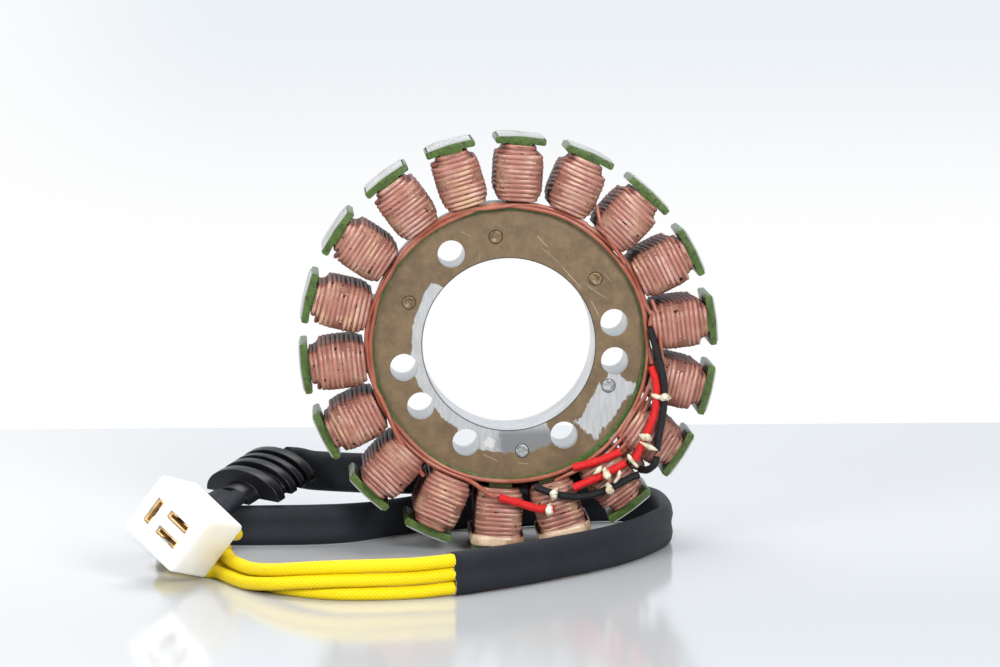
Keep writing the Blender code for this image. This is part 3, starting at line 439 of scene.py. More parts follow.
def lacquered_face():
    """Brown baked lacquer, mottled, scratched and scraped to bright steel in places."""
    made = Finish("baked lacquer", 0.42, 0.35)
    tree = made.tree
    x, y, z = made.split(made.place)
    height = calc(tree, "SUBTRACT", z, CENTRE.z)
    mottle = noise(tree, made.place, 260.0, 6.0, 0.65)
    cloud = noise(tree, made.place, 60.0, 3.0, 0.5)
    grain = noise(tree, made.place, 2600.0, 2.0, 0.6)
    speck = noise(tree, made.place, 1300.0, 2.0, 0.6)
    base = colours().lacquer
    dark = scaled(base, 0.62)
    light = tuple(min(1.0, c * 1.38 + 0.01) for c in base)
    tone = blend_colours(tree, step_up(tree, mottle, 0.30, 0.70), scaled(base, 0.76),
                         scaled(base, 1.20))
    tone = stained(tree, tone, (base[0] * 1.15, base[1] * 1.20, base[2] * 1.25), cloud, 0.45, 0.75, 0.22)
    tone = stained(tree, tone, dark, grain, 0.50, 0.72, 0.45)
    tone = stained(tree, tone, light, speck, 0.62, 0.72, 0.5)
    ragged = calc(tree, "SUBTRACT", noise(tree, stretched(tree, made.place, (1.0, 1.0, 0.45),
                                                          (0.0, math.radians(35.0), 0.0)),
                                          330.0, 5.0, 0.7), 0.5)
    front = step_up(tree, calc(tree, "MULTIPLY", y, -1.0), 0.0090, 0.0095)
    radius = distance(tree, x, height)
    # Crescent beside the bore, widest at the left and at the bottom
    spread = calc(tree, "ADD", calc(tree, "MULTIPLY", x, -0.80), calc(tree, "MULTIPLY", height, -0.60))
    reach = calc(tree, "ADD", calc(tree, "MULTIPLY", step_up(tree, spread, 0.0040, 0.0070), 0.0046), 0.0236)
    reach = calc(tree, "ADD", reach, calc(tree, "MULTIPLY", ragged, 0.0034))
    below = step_up(tree, calc(tree, "MULTIPLY", height, -1.0), 0.0200, 0.0290)
    under = calc(tree, "MULTIPLY", below, step_down(tree, calc(tree, "ABSOLUTE", x), 0.010, 0.018))
    reach = calc(tree, "ADD", reach, calc(tree, "MULTIPLY", under, 0.0034))
    crescent = step_up(tree, calc(tree, "SUBTRACT", reach, radius), 0.0, 0.0004)
    # Slanting patch below the right-hand holes
    along = calc(tree, "ADD", calc(tree, "MULTIPLY", x, 0.57), calc(tree, "MULTIPLY", height, 0.82))
    across = calc(tree, "SUBTRACT", calc(tree, "MULTIPLY", x, 0.82), calc(tree, "MULTIPLY", height, 0.57))
    edge = calc(tree, "MULTIPLY", ragged, 0.0060)
    wide = step_up(tree, calc(tree, "ADD", calc(tree, "SUBTRACT", 0.0043, calc(
        tree, "ABSOLUTE", calc(tree, "SUBTRACT", across, 0.0326))), edge), 0.0, 0.0004)
    long_way = step_up(tree, calc(tree, "ADD", calc(tree, "SUBTRACT", 0.0095, calc(
        tree, "ABSOLUTE", calc(tree, "SUBTRACT", along, 0.0015))), edge), 0.0, 0.0004)
    patch = calc(tree, "MULTIPLY", wide, long_way)
    marks = scratch_marks(tree, x, height, cloud)
    # Fine scratches at two slants
    scratch = noise(tree, stretched(tree, made.place, (1.0, 1.0, 0.03), (0.0, math.radians(-52.0), 0.0)),
                    900.0, 1.0)
    other = noise(tree, stretched(tree, made.place, (1.0, 1.0, 0.03), (0.0, math.radians(-58.0), 0.0)),
                  700.0, 1.0)
    lines = calc(tree, "ADD", step_up(tree, scratch, 0.745, 0.765), step_up(tree, other, 0.755, 0.775))
    lines = calc(tree, "MULTIPLY", lines, 0.35, clamp=True)
    lines = calc(tree, "MAXIMUM", lines, calc(tree, "MULTIPLY", calc(tree, "MULTIPLY", marks, front), 0.75))
    bare = calc(tree, "MULTIPLY", calc(tree, "MAXIMUM", crescent, patch), front)
    streaks = noise(tree, stretched(tree, made.place, (1.0, 1.0, 0.16), (0.0, math.radians(35.0), 0.0)),
                    1100.0, 3.0, 0.6)
    steel = colours().bare_steel
    scraped = blend_colours(tree, step_up(tree, streaks, 0.35, 0.65), scaled(steel, 0.78),
                            scaled(steel, 0.92))
    lower = calc(tree, "MULTIPLY", step_up(tree, calc(tree, "MULTIPLY", height, -1.0), 0.0225, 0.0265),
                 step_up(tree, calc(tree, "ADD", x, calc(tree, "MULTIPLY", ragged, 0.01)), -0.0060, -0.0010))
    lower = calc(tree, "MULTIPLY", lower, step_down(tree, x, 0.0180, 0.0200))
    scraped = blend_colours(tree, calc(tree, "MULTIPLY", lower, 0.9), scraped, scaled(steel, 0.34))
    tone = blend_colours(tree, lines, tone, (0.42, 0.36, 0.27))
    tone = blend_colours(tree, bare, tone, scraped)
    aside = calc(tree, "ADD", x, 0.0054)
    down = calc(tree, "ADD", height, 0.0283)
    far = distance(tree, aside, down)
    chalk = step_up(tree, calc(tree, "SUBTRACT", calc(tree, "MULTIPLY_ADD", ragged, 0.006, 0.0018), far),
                    0.0, 0.0004)
    tone = blend_colours(tree, calc(tree, "MULTIPLY", chalk, calc(tree, "MULTIPLY", front, 0.5)), tone,
                         (0.70, 0.70, 0.69))
    tips = step_up(tree, radius, 0.0450, 0.0455)
    tone = blend_colours(tree, tips, tone, scaled(steel, 0.9))
    # Painted shade: a thin dark line along the edge of the bore.
    rim = calc(tree, "MULTIPLY", step_down(tree, radius, 0.02492, 0.02510), 0.8)
    tone = blend_colours(tree, rim, tone, (0.02, 0.018, 0.015))
    made.colour(tone)
    made.set("Metallic", calc(tree, "ADD", calc(tree, "MULTIPLY", bare, 0.25), 0.25))
    made.set("Roughness", calc(tree, "ADD", calc(tree, "MULTIPLY", mottle, 0.25), 0.36))
    made.bump(mottle, 0.00008, 0.5)
    made.bump(grain, 0.00003, 0.5)
    made.bump(calc(tree, "MULTIPLY", bare, calc(tree, "ADD", streaks, -1.0)), 0.00006, 0.6)
    return made.material


def machined_steel():
    """Bright turned steel of the bore and the holes."""
    made = Finish("machined steel", 0.30, 0.75)
    tree = made.tree
    turned = noise(tree, stretched(tree, made.place, (0.03, 1.0, 0.03)), 4200.0, 2.0)
    cloud = noise(tree, made.place, 90.0, 3.0)
    steel = colours().bare_steel
    made.colour(blend_colours(tree, step_up(tree, cloud, 0.3, 0.7), scaled(steel, 1.15),
                              scaled(steel, 1.45)))
    made.set("Roughness", calc(tree, "ADD", calc(tree, "MULTIPLY", turned, 0.25), 0.18))
    made.bump(turned, 0.00003, 0.6)
    return made.material


def laminated_steel():
    """Bare pole faces, with the edges of the laminations side by side."""
    made = Finish("lamination edges", 0.34, 0.8)
    tree = made.tree
    _, y, _ = made.split(made.place)
    phase = calc(tree, "FRACT", calc(tree, "MULTIPLY", y, 1.0 / 0.0005))
    ridge = step_up(tree, calc(tree, "ABSOLUTE", calc(tree, "SUBTRACT", phase, 0.5)), 0.36, 0.48)
    stain = noise(tree, made.place, 170.0, 4.0, 0.6)
    steel = colours().bare_steel
    tone = blend_colours(tree, step_up(tree, stain, 0.40, 0.72), scaled(steel, 1.35),
                         (steel[0] * 0.85, steel[1] * 0.72, steel[2] * 0.58))
    made.colour(blend_colours(tree, calc(tree, "MULTIPLY", ridge, 0.55), tone,
                              scaled(steel, 0.30)))
    made.set("Roughness", calc(tree, "ADD", calc(tree, "MULTIPLY", stain, 0.3), 0.2))
    made.bump(calc(tree, "MULTIPLY", ridge, -1.0), 0.00008, 0.8)
    return made.material


def green_coat():
    """Thick glossy coat, a little uneven."""
    made = Finish("green coat", 0.34, Specular_IOR_Level=0.3, Coat_Weight=0.2, Coat_Roughness=0.16)
    tree = made.tree
    lumps = noise(tree, made.place, 420.0, 3.0, 0.55)
    dirt = noise(tree, made.place, 900.0, 4.0, 0.6)
    base = colours().coat
    tone = blend_colours(tree, step_up(tree, lumps, 0.3, 0.7), scaled(base, 0.78),
                         scaled(base, 1.18))
    tone = stained(tree, tone, (0.030, 0.034, 0.010), dirt, 0.50, 0.66, 0.75)
    x, _, z = made.split(made.place)
    height = calc(tree, "SUBTRACT", z, CENTRE.z)
    radius = distance(tree, x, height)
    # Dark brown at the feet of the teeth between the coils: partly varnish, partly painted shade.
    foot = calc(tree, "MULTIPLY", step_up(tree, radius, 0.0402, 0.0408),
                calc(tree, "SUBTRACT", 1.0, step_up(tree, radius, 0.0440, 0.0450)))
    tone = blend_colours(tree, calc(tree, "MULTIPLY", foot, 0.85), tone, (0.030, 0.018, 0.010))
    made.colour(tone)
    made.bump(lumps, 0.00035, 0.7)
    return made.material


def slot_shade_mask(made):
    """Mask for painted shade: 1 on the sides of the coils, between one pole and the next, and 0 in front and
    behind.
    """
    depth = calc(made.tree, "ABSOLUTE", made.split(made.place)[1])
    return calc(made.tree, "SUBTRACT", 1.0, step_up(made.tree, depth, 0.0112, 0.0132))


def varnished_copper(name, base, resin_share, wound=False):
    """Enamelled wire under clear varnish, with cream resin set between the turns and pale patches of painted
    highlight; a wound coil also gets painted shade on its sides between the poles.
    """
    made = Finish(name, 0.30, Specular_IOR_Level=0.26, Coat_Weight=0.22, Coat_Roughness=0.16)
    tree = made.tree
    cloud = noise(tree, made.place, 130.0, 3.0, 0.55, 0.4)
    patch = noise(tree, made.place, 95.0, 2.0, 0.5)
    fine = noise(tree, made.place, 420.0, 2.0, 0.5)
    run = noise(tree, stretched(tree, made.uv, (1.0, 0.16, 1.0)), 700.0, 2.0)
    tone = blend_colours(tree, step_up(tree, run, 0.32, 0.70), scaled(base, 0.84),
                         scaled(base, 1.14))
    tone = stained(tree, tone, scaled(base, 0.70), fine, 0.45, 0.75, 0.22)
    share = calc(tree, "MULTIPLY", step_up(tree, patch, 0.56, 0.72), resin_share)
    tone = blend_colours(tree, share, tone, colours().resin)
    # Painted highlight: pale milky patches from a cloud pattern stand in for the soft sheen on the varnish.
    milky = calc(tree, "MULTIPLY", step_up(tree, cloud, 0.47, 0.70), resin_share * 0.62)
    tone = blend_colours(tree, milky, tone, (0.60, 0.42, 0.36))
    gloss = calc(tree, "ADD", calc(tree, "MULTIPLY", cloud, 0.22), 0.22)
    if wound:
        # Painted shade: the coil sides in the slots between poles are painted darker.
        side = slot_shade_mask(made)
        tone = blend_colours(tree, side, tone, (base[0] * 0.72, base[1] * 0.60, base[2] * 0.60))
        gloss = calc(tree, "MAXIMUM", gloss, calc(tree, "MULTIPLY", side, 0.95))
    made.colour(tone)
    made.set("Roughness", gloss)
    made.bump(run, 0.00004, 0.3)
    made.bump(cloud, 0.0002, 0.25)
    return made.material


def set_varnish():
    """Dark varnish that fills the coils behind the turns, with painted shade in the gaps between turns and
    on the coil sides between poles.
    """
    made = Finish("set varnish", 0.60, Specular_IOR_Level=0.12)
    tree = made.tree
    cloud = noise(tree, made.place, 160.0, 3.0, 0.6)
    gaps = noise(tree, made.place, 520.0, 2.0, 0.5)
    base = colours().copper
    tone = blend_colours(tree, step_up(tree, cloud, 0.46, 0.72), scaled(base, 0.56),
                         scaled(colours().resin, 0.50))
    # Painted shade: near-black dots for the gaps between the turns.
    tone = blend_colours(tree, step_up(tree, gaps, 0.63, 0.69), tone, (0.012, 0.006, 0.005))
    # Painted shade: darker still on the coil sides between poles.
    made.colour(blend_colours(tree, slot_shade_mask(made), tone, scaled(base, 0.30)))
    made.bump(cloud, 0.0003, 0.5)
    return made.material


def braided(name, base, pitch, shade, shine, depth):
    """A braid of crossing strands, on the piece's own map in metres."""
    made = Finish(name, 0.55, Specular_IOR_Level=shine)
    tree = made.tree
    u, v, _ = made.split(made.uv)
    turn = 2.0 * math.pi / pitch
    one = calc(tree, "SINE", calc(tree, "MULTIPLY", calc(tree, "ADD", u, v), turn))
    two = calc(tree, "SINE", calc(tree, "MULTIPLY", calc(tree, "SUBTRACT", u, v), turn))
    weave = calc(tree, "MULTIPLY_ADD", calc(tree, "MULTIPLY", one, two), 0.5, 0.5)
    over = step_up(tree, calc(tree, "MAXIMUM", one, two), 0.2, 0.9)
    height = calc(tree, "ADD", calc(tree, "MULTIPLY", weave, 0.5), calc(tree, "MULTIPLY", over, 0.5))
    fuzz = noise(tree, made.place, 2500.0, 3.0, 0.6)
    cloud = noise(tree, made.place, 120.0, 2.0)
    tone = blend_colours(tree, height, scaled(base, shade), base)
    tone = stained(tree, tone, scaled(base, 0.82), cloud, 0.45, 0.75, 0.25)
    made.colour(tone)
    made.set("Roughness", calc(tree, "ADD", calc(tree, "MULTIPLY", fuzz, 0.3), 0.30))
    made.bump(height, depth, 1.0)
    made.bump(fuzz, depth * 0.25, 0.5)
    return made.material


def flat_weave():
    """Tight dark weave with a fine rib along and across."""
    made = Finish("flat weave", 0.58, Specular_IOR_Level=0.22)
    tree = made.tree
    u, v, _ = made.split(made.uv)
    turn = 2.0 * math.pi / 0.00082
    warp = calc(tree, "SINE", calc(tree, "MULTIPLY", u, turn))
    weft = calc(tree, "SINE", calc(tree, "MULTIPLY", v, turn))
    weave = calc(tree, "MULTIPLY_ADD", calc(tree, "MULTIPLY", warp, weft), 0.5, 0.5)
    thread = noise(tree, stretched(tree, made.uv, (0.06, 1.0, 1.0)), 2600.0, 2.0)
    cross = noise(tree, stretched(tree, made.uv, (1.0, 0.06, 1.0)), 2600.0, 2.0)
    cloud = noise(tree, made.place, 55.0, 3.0)
    base = colours().flat_sleeve
    tone = blend_colours(tree, weave, scaled(base, 0.40), scaled(base, 1.50))
    tone = stained(tree, tone, scaled(base, 3.0), calc(tree, "MAXIMUM", thread, cross), 0.60, 0.78, 0.55)
    tone = stained(tree, tone, scaled(base, 1.9), cloud, 0.5, 0.75, 0.3)
    made.colour(tone)
    made.set("Roughness", calc(tree, "ADD", calc(tree, "MULTIPLY", cross, 0.25), 0.40))
    made.bump(weave, 0.00016, 0.9)
    made.bump(calc(tree, "ADD", thread, cross), 0.00008, 0.5)
    return made.material


def dull_rubber():
    """Black moulded rubber."""
    made = Finish("moulded rubber", 0.30, Specular_IOR_Level=0.30)
    tree = made.tree
    skin = noise(tree, made.place, 1500.0, 3.0, 0.6)
    cloud = noise(tree, made.place, 110.0, 3.0)
    made.colour(blend_colours(tree, step_up(tree, cloud, 0.35, 0.7), (0.0018, 0.002, 0.003),
                              (0.0045, 0.005, 0.007)))
    made.set("Roughness", calc(tree, "ADD", calc(tree, "MULTIPLY", skin, 0.25), 0.20))
    made.bump(skin, 0.00005, 0.5)
    return made.material


def milky_nylon():
    """Half-clear white nylon."""
    made = Finish("milky nylon", 0.34, Subsurface_Weight=0.45, Subsurface_Scale=0.004)
    tree = made.tree
    made.shader.inputs["Subsurface Radius"].default_value = (1.0, 0.9, 0.75)
    cloud = noise(tree, made.place, 160.0, 3.0)
    skin = noise(tree, made.place, 900.0, 2.0)
    base = colours().nylon
    made.colour(blend_colours(tree, step_up(tree, cloud, 0.4, 0.75), base,
                              (base[0] * 0.97, base[1] * 0.955, base[2] * 0.92)))
    made.set("Roughness", calc(tree, "ADD", calc(tree, "MULTIPLY", skin, 0.2), 0.25))
    made.bump(skin, 0.00004, 0.3)
    return made.material


def pressed_brass():
    """Pressed brass sheet, slightly tarnished."""
    made = Finish("pressed brass", 0.42, 0.35)
    tree = made.tree
    stain = noise(tree, made.place, 500.0, 4.0, 0.6)
    base = colours().brass
    made.colour(blend_colours(tree, step_up(tree, stain, 0.42, 0.72), scaled(base, 1.15),
                              scaled(base, 0.55)))
    made.set("Roughness", calc(tree, "ADD", calc(tree, "MULTIPLY", stain, 0.3), 0.18))
    made.bump(stain, 0.00004, 0.4)
    return made.material


def rivet_steel():
    """Rivet ends under the same lacquer, the lower ones worn to bare steel."""
    made = Finish("rivet end", 0.40, 0.45)
    tree = made.tree
    stain = noise(tree, made.place, 700.0, 4.0, 0.6)
    base = colours().lacquer
    steel = colours().bare_steel
    tone = blend_colours(tree, step_up(tree, stain, 0.38, 0.66), scaled(base, 0.72),
                         scaled(base, 1.6))
    height = calc(tree, "SUBTRACT", made.split(made.place)[2], CENTRE.z)
    worn = step_up(tree, calc(tree, "MULTIPLY", height, -1.0), 0.0085, 0.0095)
    bright = blend_colours(tree, step_up(tree, stain, 0.40, 0.60), scaled(steel, 0.35),
                           scaled(steel, 0.75))
    made.colour(blend_colours(tree, worn, tone, bright))
    made.bump(stain, 0.00006, 0.5)
    return made.material


def waxed_cord():
    """Cream lacing cord soaked in varnish."""
    made = Finish("waxed cord", 0.30, Coat_Weight=0.6, Coat_Roughness=0.15, Subsurface_Weight=0.2,
                  Subsurface_Scale=0.001)
    tree = made.tree
    u, v, _ = made.split(made.uv)
    twist = calc(tree, "SINE", calc(tree, "MULTIPLY", calc(tree, "ADD", u, v), 2.0 * math.pi / 0.0006))
    cloud = noise(tree, made.place, 500.0, 3.0)
    made.colour(blend_colours(tree, step_up(tree, cloud, 0.4, 0.7), (0.68, 0.64, 0.50),
                              (0.44, 0.36, 0.22)))
    made.bump(twist, 0.00006, 0.6)
    made.bump(cloud, 0.0002, 0.6)
    return made.material


def glass_tape():
    """Cream glass-cloth tape, stained by varnish."""
    made = Finish("glass cloth tape", 0.36, Coat_Weight=0.4, Coat_Roughness=0.2)
    tree = made.tree
    x, _, _ = made.split(made.place)
    weave = noise(tree, made.place, 2200.0, 2.0, 0.6)
    rib = calc(tree, "SINE", calc(tree, "MULTIPLY", x, 2.0 * math.pi / 0.0005))
    stain = noise(tree, made.place, 210.0, 3.0)
    tone = blend_colours(tree, step_up(tree, stain, 0.38, 0.68), (0.52, 0.39, 0.26), (0.28, 0.15, 0.08))
    made.colour(blend_colours(tree, calc(tree, "MULTIPLY", step_up(tree, weave, 0.5, 0.7), 0.4), tone,
                              (0.62, 0.53, 0.40)))
    made.bump(rib, 0.00005, 0.6)
    made.bump(weave, 0.00008, 0.6)
    return made.material


def cut_weave():
    """Pale cut edge and dark inside of the woven sleeve."""
    made = Finish("cut weave", 0.7)
    tree = made.tree
    threads = noise(tree, made.place, 2400.0, 2.0)
    made.colour(blend_colours(tree, step_up(tree, threads, 0.4, 0.6), (0.16, 0.11, 0.07),
                              (0.46, 0.33, 0.20)))
    made.bump(threads, 0.0001, 0.8)
    return made.material


# Shaping

def select_only(*things):
    """Selects these objects alone, the first one active."""
    if bpy.context.mode != "OBJECT":
        bpy.ops.object.mode_set(mode="OBJECT")
    bpy.ops.object.select_all(action="DESELECT")
    for thing in things:
        thing.select_set(True)
    bpy.context.view_layer.objects.active = things[0]


def settle(thing):
    """Moves a piece's place into its mesh, so its object stands at the origin."""
    select_only(thing)
    bpy.ops.object.transform_apply(location=True, rotation=True, scale=True)


def mould(thing, matrix):
    """Places a piece by a matrix and settles it."""
    thing.data.transform(matrix)
    thing.data.update()


def finish_piece(thing, name, material, nodes=(), smooth=35.0):
    """Names a piece, gives it its finish and fixes it to the frame."""
    thing.name = name
    thing.data.name = name
    if material is not None:
        thing.data.materials.clear()
        thing.data.materials.append(material)
    if smooth and thing.type == "MESH":
        select_only(thing)
        bpy.ops.object.shade_smooth_by_angle(angle=math.radians(smooth))
    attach(thing, "root")
    if nodes:
        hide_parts(*nodes)
    return thing


def bevel_edges(thing, width, segments, angle=30.0):
    """Rounds a piece's sharp edges."""
    select_only(thing)
    rounding = thing.modifiers.new("rounding", "BEVEL")
    rounding.width = width
    rounding.segments = segments
    rounding.limit_method = "ANGLE"
    rounding.angle_limit = math.radians(angle)
    rounding.use_clamp_overlap = True
    bpy.ops.object.modifier_apply(modifier=rounding.name)


def combine(target, tool, operation):
    """Joins a tool to a piece, or cuts it out, and removes the tool."""
    select_only(target)
    boolean = target.modifiers.new("combine", "BOOLEAN")
    boolean.operation = operation
    boolean.solver = "EXACT"
    boolean.object = tool
    bpy.ops.object.modifier_apply(modifier=boolean.name)
    bpy.data.objects.remove(tool, do_unlink=True)


def start_shaping(thing, mode="FACE"):
    """Opens a piece for shaping with nothing selected."""
    select_only(thing)
    bpy.ops.object.mode_set(mode="EDIT")
    bpy.ops.mesh.select_mode(type=mode)
    bpy.ops.mesh.select_all(action="DESELECT")


def pick(thing, kind, test):
    """Selects the faces or edges of the open piece that pass a test."""
    bpy.ops.object.mode_set(mode="OBJECT")
    mesh = thing.data
    mesh.vertices.foreach_set("select", [False] * len(mesh.vertices))
    mesh.edges.foreach_set("select", [False] * len(mesh.edges))
    mesh.polygons.foreach_set("select", [False] * len(mesh.polygons))
    for item in (mesh.polygons if kind == "FACE" else mesh.edges):
        item.select = bool(test(item))
    bpy.ops.object.mode_set(mode="EDIT")


def end_shaping():
    bpy.ops.object.mode_set(mode="OBJECT")


def in_scene(name, data):
    """A new object of this data, put in the scene."""
    made = bpy.data.objects.new(name, data)
    bpy.context.scene.collection.objects.link(made)
    return made


def copy_of_node(node):
    """A copy of a frame node with its loose triangles merged into one shell."""
    source = frame["nodes"][node]
    made = in_scene(node + "_copy", source.data.copy())
    made.data.materials.clear()
    start_shaping(made, "VERT")
    bpy.ops.mesh.select_all(action="SELECT")
    bpy.ops.mesh.remove_doubles(threshold=0.000002)
    bpy.ops.mesh.dissolve_limited(angle_limit=math.radians(1.0))
    end_shaping()
    return made


def pole_turn(pole):
    """Turns a piece modelled on +X to its pole, about the stator's axis."""
    angle = math.radians(FIRST_POLE_ANGLE + 360.0 * pole / POLE_COUNT)
    return Matrix.Translation(CENTRE) @ Matrix.Rotation(-angle, 4, "Y")


def smooth_route(points, spacing):
    """A smooth curve through points, read off at even steps."""
    route = np.array(points, dtype=float)
    ends = np.vstack([2.0 * route[0] - route[1], route, 2.0 * route[-1] - route[-2]])
    fine = []
    for before, start, end, after in zip(ends, ends[1:], ends[2:], ends[3:]):
        for t in np.linspace(0.0, 1.0, 12, endpoint=False):
            fine.append(0.5 * (2.0 * start + (end - before) * t
                               + (2.0 * before - 5.0 * start + 4.0 * end - after) * t ** 2
                               + (3.0 * start - before - 3.0 * end + after) * t ** 3))
    fine.append(route[-1])
    fine = np.array(fine)
    run = np.concatenate([[0.0], np.cumsum(np.linalg.norm(np.diff(fine[:, :3], axis=0), axis=1))])
    even = np.linspace(0.0, run[-1], max(2, round(run[-1] / spacing) + 1))
    return np.column_stack([np.interp(even, run, fine[:, axis]) for axis in range(route.shape[1])])


def mesh_piece(name, points, faces, uvs=None):
    """A piece of soft goods from points and faces, with its map in metres."""
    mesh = bpy.data.meshes.new(name)
    mesh.from_pydata([tuple(point) for point in points], [], faces)
    if uvs is not None:
        layer = mesh.uv_layers.new(name="run")
        flat = np.array([value for face in uvs for corner in face for value in corner], dtype=float)
        layer.data.foreach_set("uv", flat)
    mesh.update()
    return in_scene(name, mesh)


def swept(name, rings, steps_round, caps=True):
    """Joins rings of points into a tube, with a map of metres round and along it."""
    rings = np.array(rings, dtype=float)
    count, sides, _ = rings.shape
    middle = rings.mean(axis=1)
    along = np.concatenate([[0.0], np.cumsum(np.linalg.norm(np.diff(middle, axis=0), axis=1))])
    faces = []
    uvs = []
    for row in range(count - 1):
        for side in range(sides):
            after = (side + 1) % sides
            faces.append((row * sides + side, row * sides + after,
                          (row + 1) * sides + after, (row + 1) * sides + side))
            left, right = steps_round[side], steps_round[side + 1]
            uvs.append(((left, along[row]), (right, along[row]), (right, along[row + 1]),
                        (left, along[row + 1])))
    if caps:
        faces.append(tuple(reversed(range(sides))))
        uvs.append(tuple((0.0, 0.0) for _ in range(sides)))
        faces.append(tuple((count - 1) * sides + side for side in range(sides)))
        uvs.append(tuple((0.0, along[-1]) for _ in range(sides)))
    return mesh_piece(name, rings.reshape(-1, 3), faces, uvs)


def tube(name, points, radius, sides, ripple=None):
    """A round tube along points, with a frame that doesn't twist."""
    points = np.array(points, dtype=float)
    heading = np.gradient(points, axis=0)
    heading /= np.linalg.norm(heading, axis=1)[:, None]
    side = np.cross(heading[0], (0.0, 0.0, 1.0))
    if np.linalg.norm(side) < 0.1:
        side = np.cross(heading[0], (0.0, 1.0, 0.0))
    rings = []
    turn = np.linspace(0.0, 2.0 * math.pi, sides, endpoint=False)
    for number, (point, ahead) in enumerate(zip(points, heading)):
        side = side - ahead * np.dot(side, ahead)
        side = side / np.linalg.norm(side)
        up = np.cross(ahead, side)
        size = radius if np.isscalar(radius) else radius[number]
        reach = size * (1.0 if ripple is None else 1.0 + ripple(number, turn))
        rings.append(point + np.outer(reach * np.cos(turn), side) + np.outer(reach * np.sin(turn), up))
    mean = radius if np.isscalar(radius) else float(np.mean(radius))
    steps = [2.0 * math.pi * mean * step / sides for step in range(sides + 1)]
    return swept(name, rings, steps)


def above_axis(points):
    """Points in millimetres about the stator's axis, in metres from the floor."""
    return [(x / 1000.0, y / 1000.0, CENTRE.z + z / 1000.0) for x, y, z in points]


# Stack, coat and rivets

def build_stack():
    """Round yoke, teeth and shoes with true round holes."""
    yoke_radius, bore_radius, tooth_width = 0.0390, 0.0247, 0.0050
    shoe_width, shoe_thickness = 0.0128, 0.0017
    quarter = math.radians(90.0)
    bpy.ops.mesh.primitive_cylinder_add(vertices=180, radius=yoke_radius, depth=STACK_HEIGHT,
                                        rotation=(quarter, 0.0, 0.0))
    yoke = bpy.context.object
    settle(yoke)
    pole_height = STACK_HEIGHT - 0.00006
    bpy.ops.mesh.primitive_cylinder_add(vertices=300, radius=OUTER_RADIUS, depth=pole_height,
                                        rotation=(quarter, 0.0, 0.0))
    pole = bpy.context.object
    settle(pole)
    start_shaping(pole)
    for co, no in (((OUTER_RADIUS - shoe_thickness, 0, 0), (-1, 0, 0)), ((0, 0, shoe_width / 2), (0, 0, 1)),
                   ((0, 0, -shoe_width / 2), (0, 0, -1))):
        bpy.ops.mesh.select_all(action="SELECT")
        bpy.ops.mesh.bisect(plane_co=co, plane_no=no, use_fill=True, clear_outer=True)
    pick(pole, "EDGE", lambda edge: all(
        abs(abs(pole.data.vertices[v].co.z) - shoe_width / 2) < 1e-6 for v in edge.vertices) and abs(
        pole.data.vertices[edge.vertices[0]].co.y - pole.data.vertices[edge.vertices[1]].co.y) > 0.01)
    bpy.ops.mesh.bevel(offset=0.0004, segments=3)
    end_shaping()
    low, high = 0.0380, OUTER_RADIUS - shoe_thickness * 0.5
    bpy.ops.mesh.primitive_cube_add(size=1.0, location=((low + high) / 2.0, 0.0, 0.0),
                                    scale=(high - low, pole_height - 0.00004, tooth_width))
    tooth = bpy.context.object
    settle(tooth)
    combine(pole, tooth, "UNION")
    for number in range(POLE_COUNT):
        copy = in_scene("pole", pole.data.copy())
        angle = math.radians(FIRST_POLE_ANGLE + 360.0 * number / POLE_COUNT)
        mould(copy, Matrix.Rotation(-angle, 4, "Y"))
        combine(yoke, copy, "UNION")
    bpy.data.objects.remove(pole, do_unlink=True)
    cutters = []
    holes = [(0.0, 0.0, bore_radius, 144)]
    for circle, angles, radius, count in ((HOLE_CIRCLE, HOLE_ANGLES, HOLE_RADIUS, 48),
                                          (RIVET_CIRCLE, RIVET_ANGLES, RIVET_HOLE_RADIUS, 32)):
        holes += [(circle * math.cos(math.radians(a)), circle * math.sin(math.radians(a)), radius, count)
                  for a in angles]
    for x, z, radius, count in holes:
        bpy.ops.mesh.primitive_cylinder_add(vertices=count, radius=radius, depth=STACK_HEIGHT * 1.3,
                                            location=(x, 0.0, z), rotation=(quarter, 0.0, 0.0))
        cutters.append(bpy.context.object)
    select_only(*cutters)
    bpy.ops.object.join()
    settle(cutters[0])
    combine(yoke, cutters[0], "DIFFERENCE")
    bevel_edges(yoke, 0.00016, 2, 50.0)
    mould(yoke, Matrix.Translation(CENTRE))
    finish_piece(yoke, "stack_ring", None, ["lamination_stack"], 30.0)
    yoke.data.materials.clear()
    for material in (lacquered_face(), machined_steel(), laminated_steel()):
        yoke.data.materials.append(material)
    for face in yoke.data.polygons:
        radius = math.hypot(face.center.x, face.center.z - CENTRE.z)
        if abs(face.normal.y) > 0.999:
            face.use_smooth = False
        if radius > OUTER_RADIUS - 0.0009 and abs(face.normal.y) < 0.98:
            face.material_index = 2
        elif radius < BORE_EDGE_RADIUS and abs(face.normal.y) < 0.6:
            face.material_index = 1
        else:
            face.material_index = 0


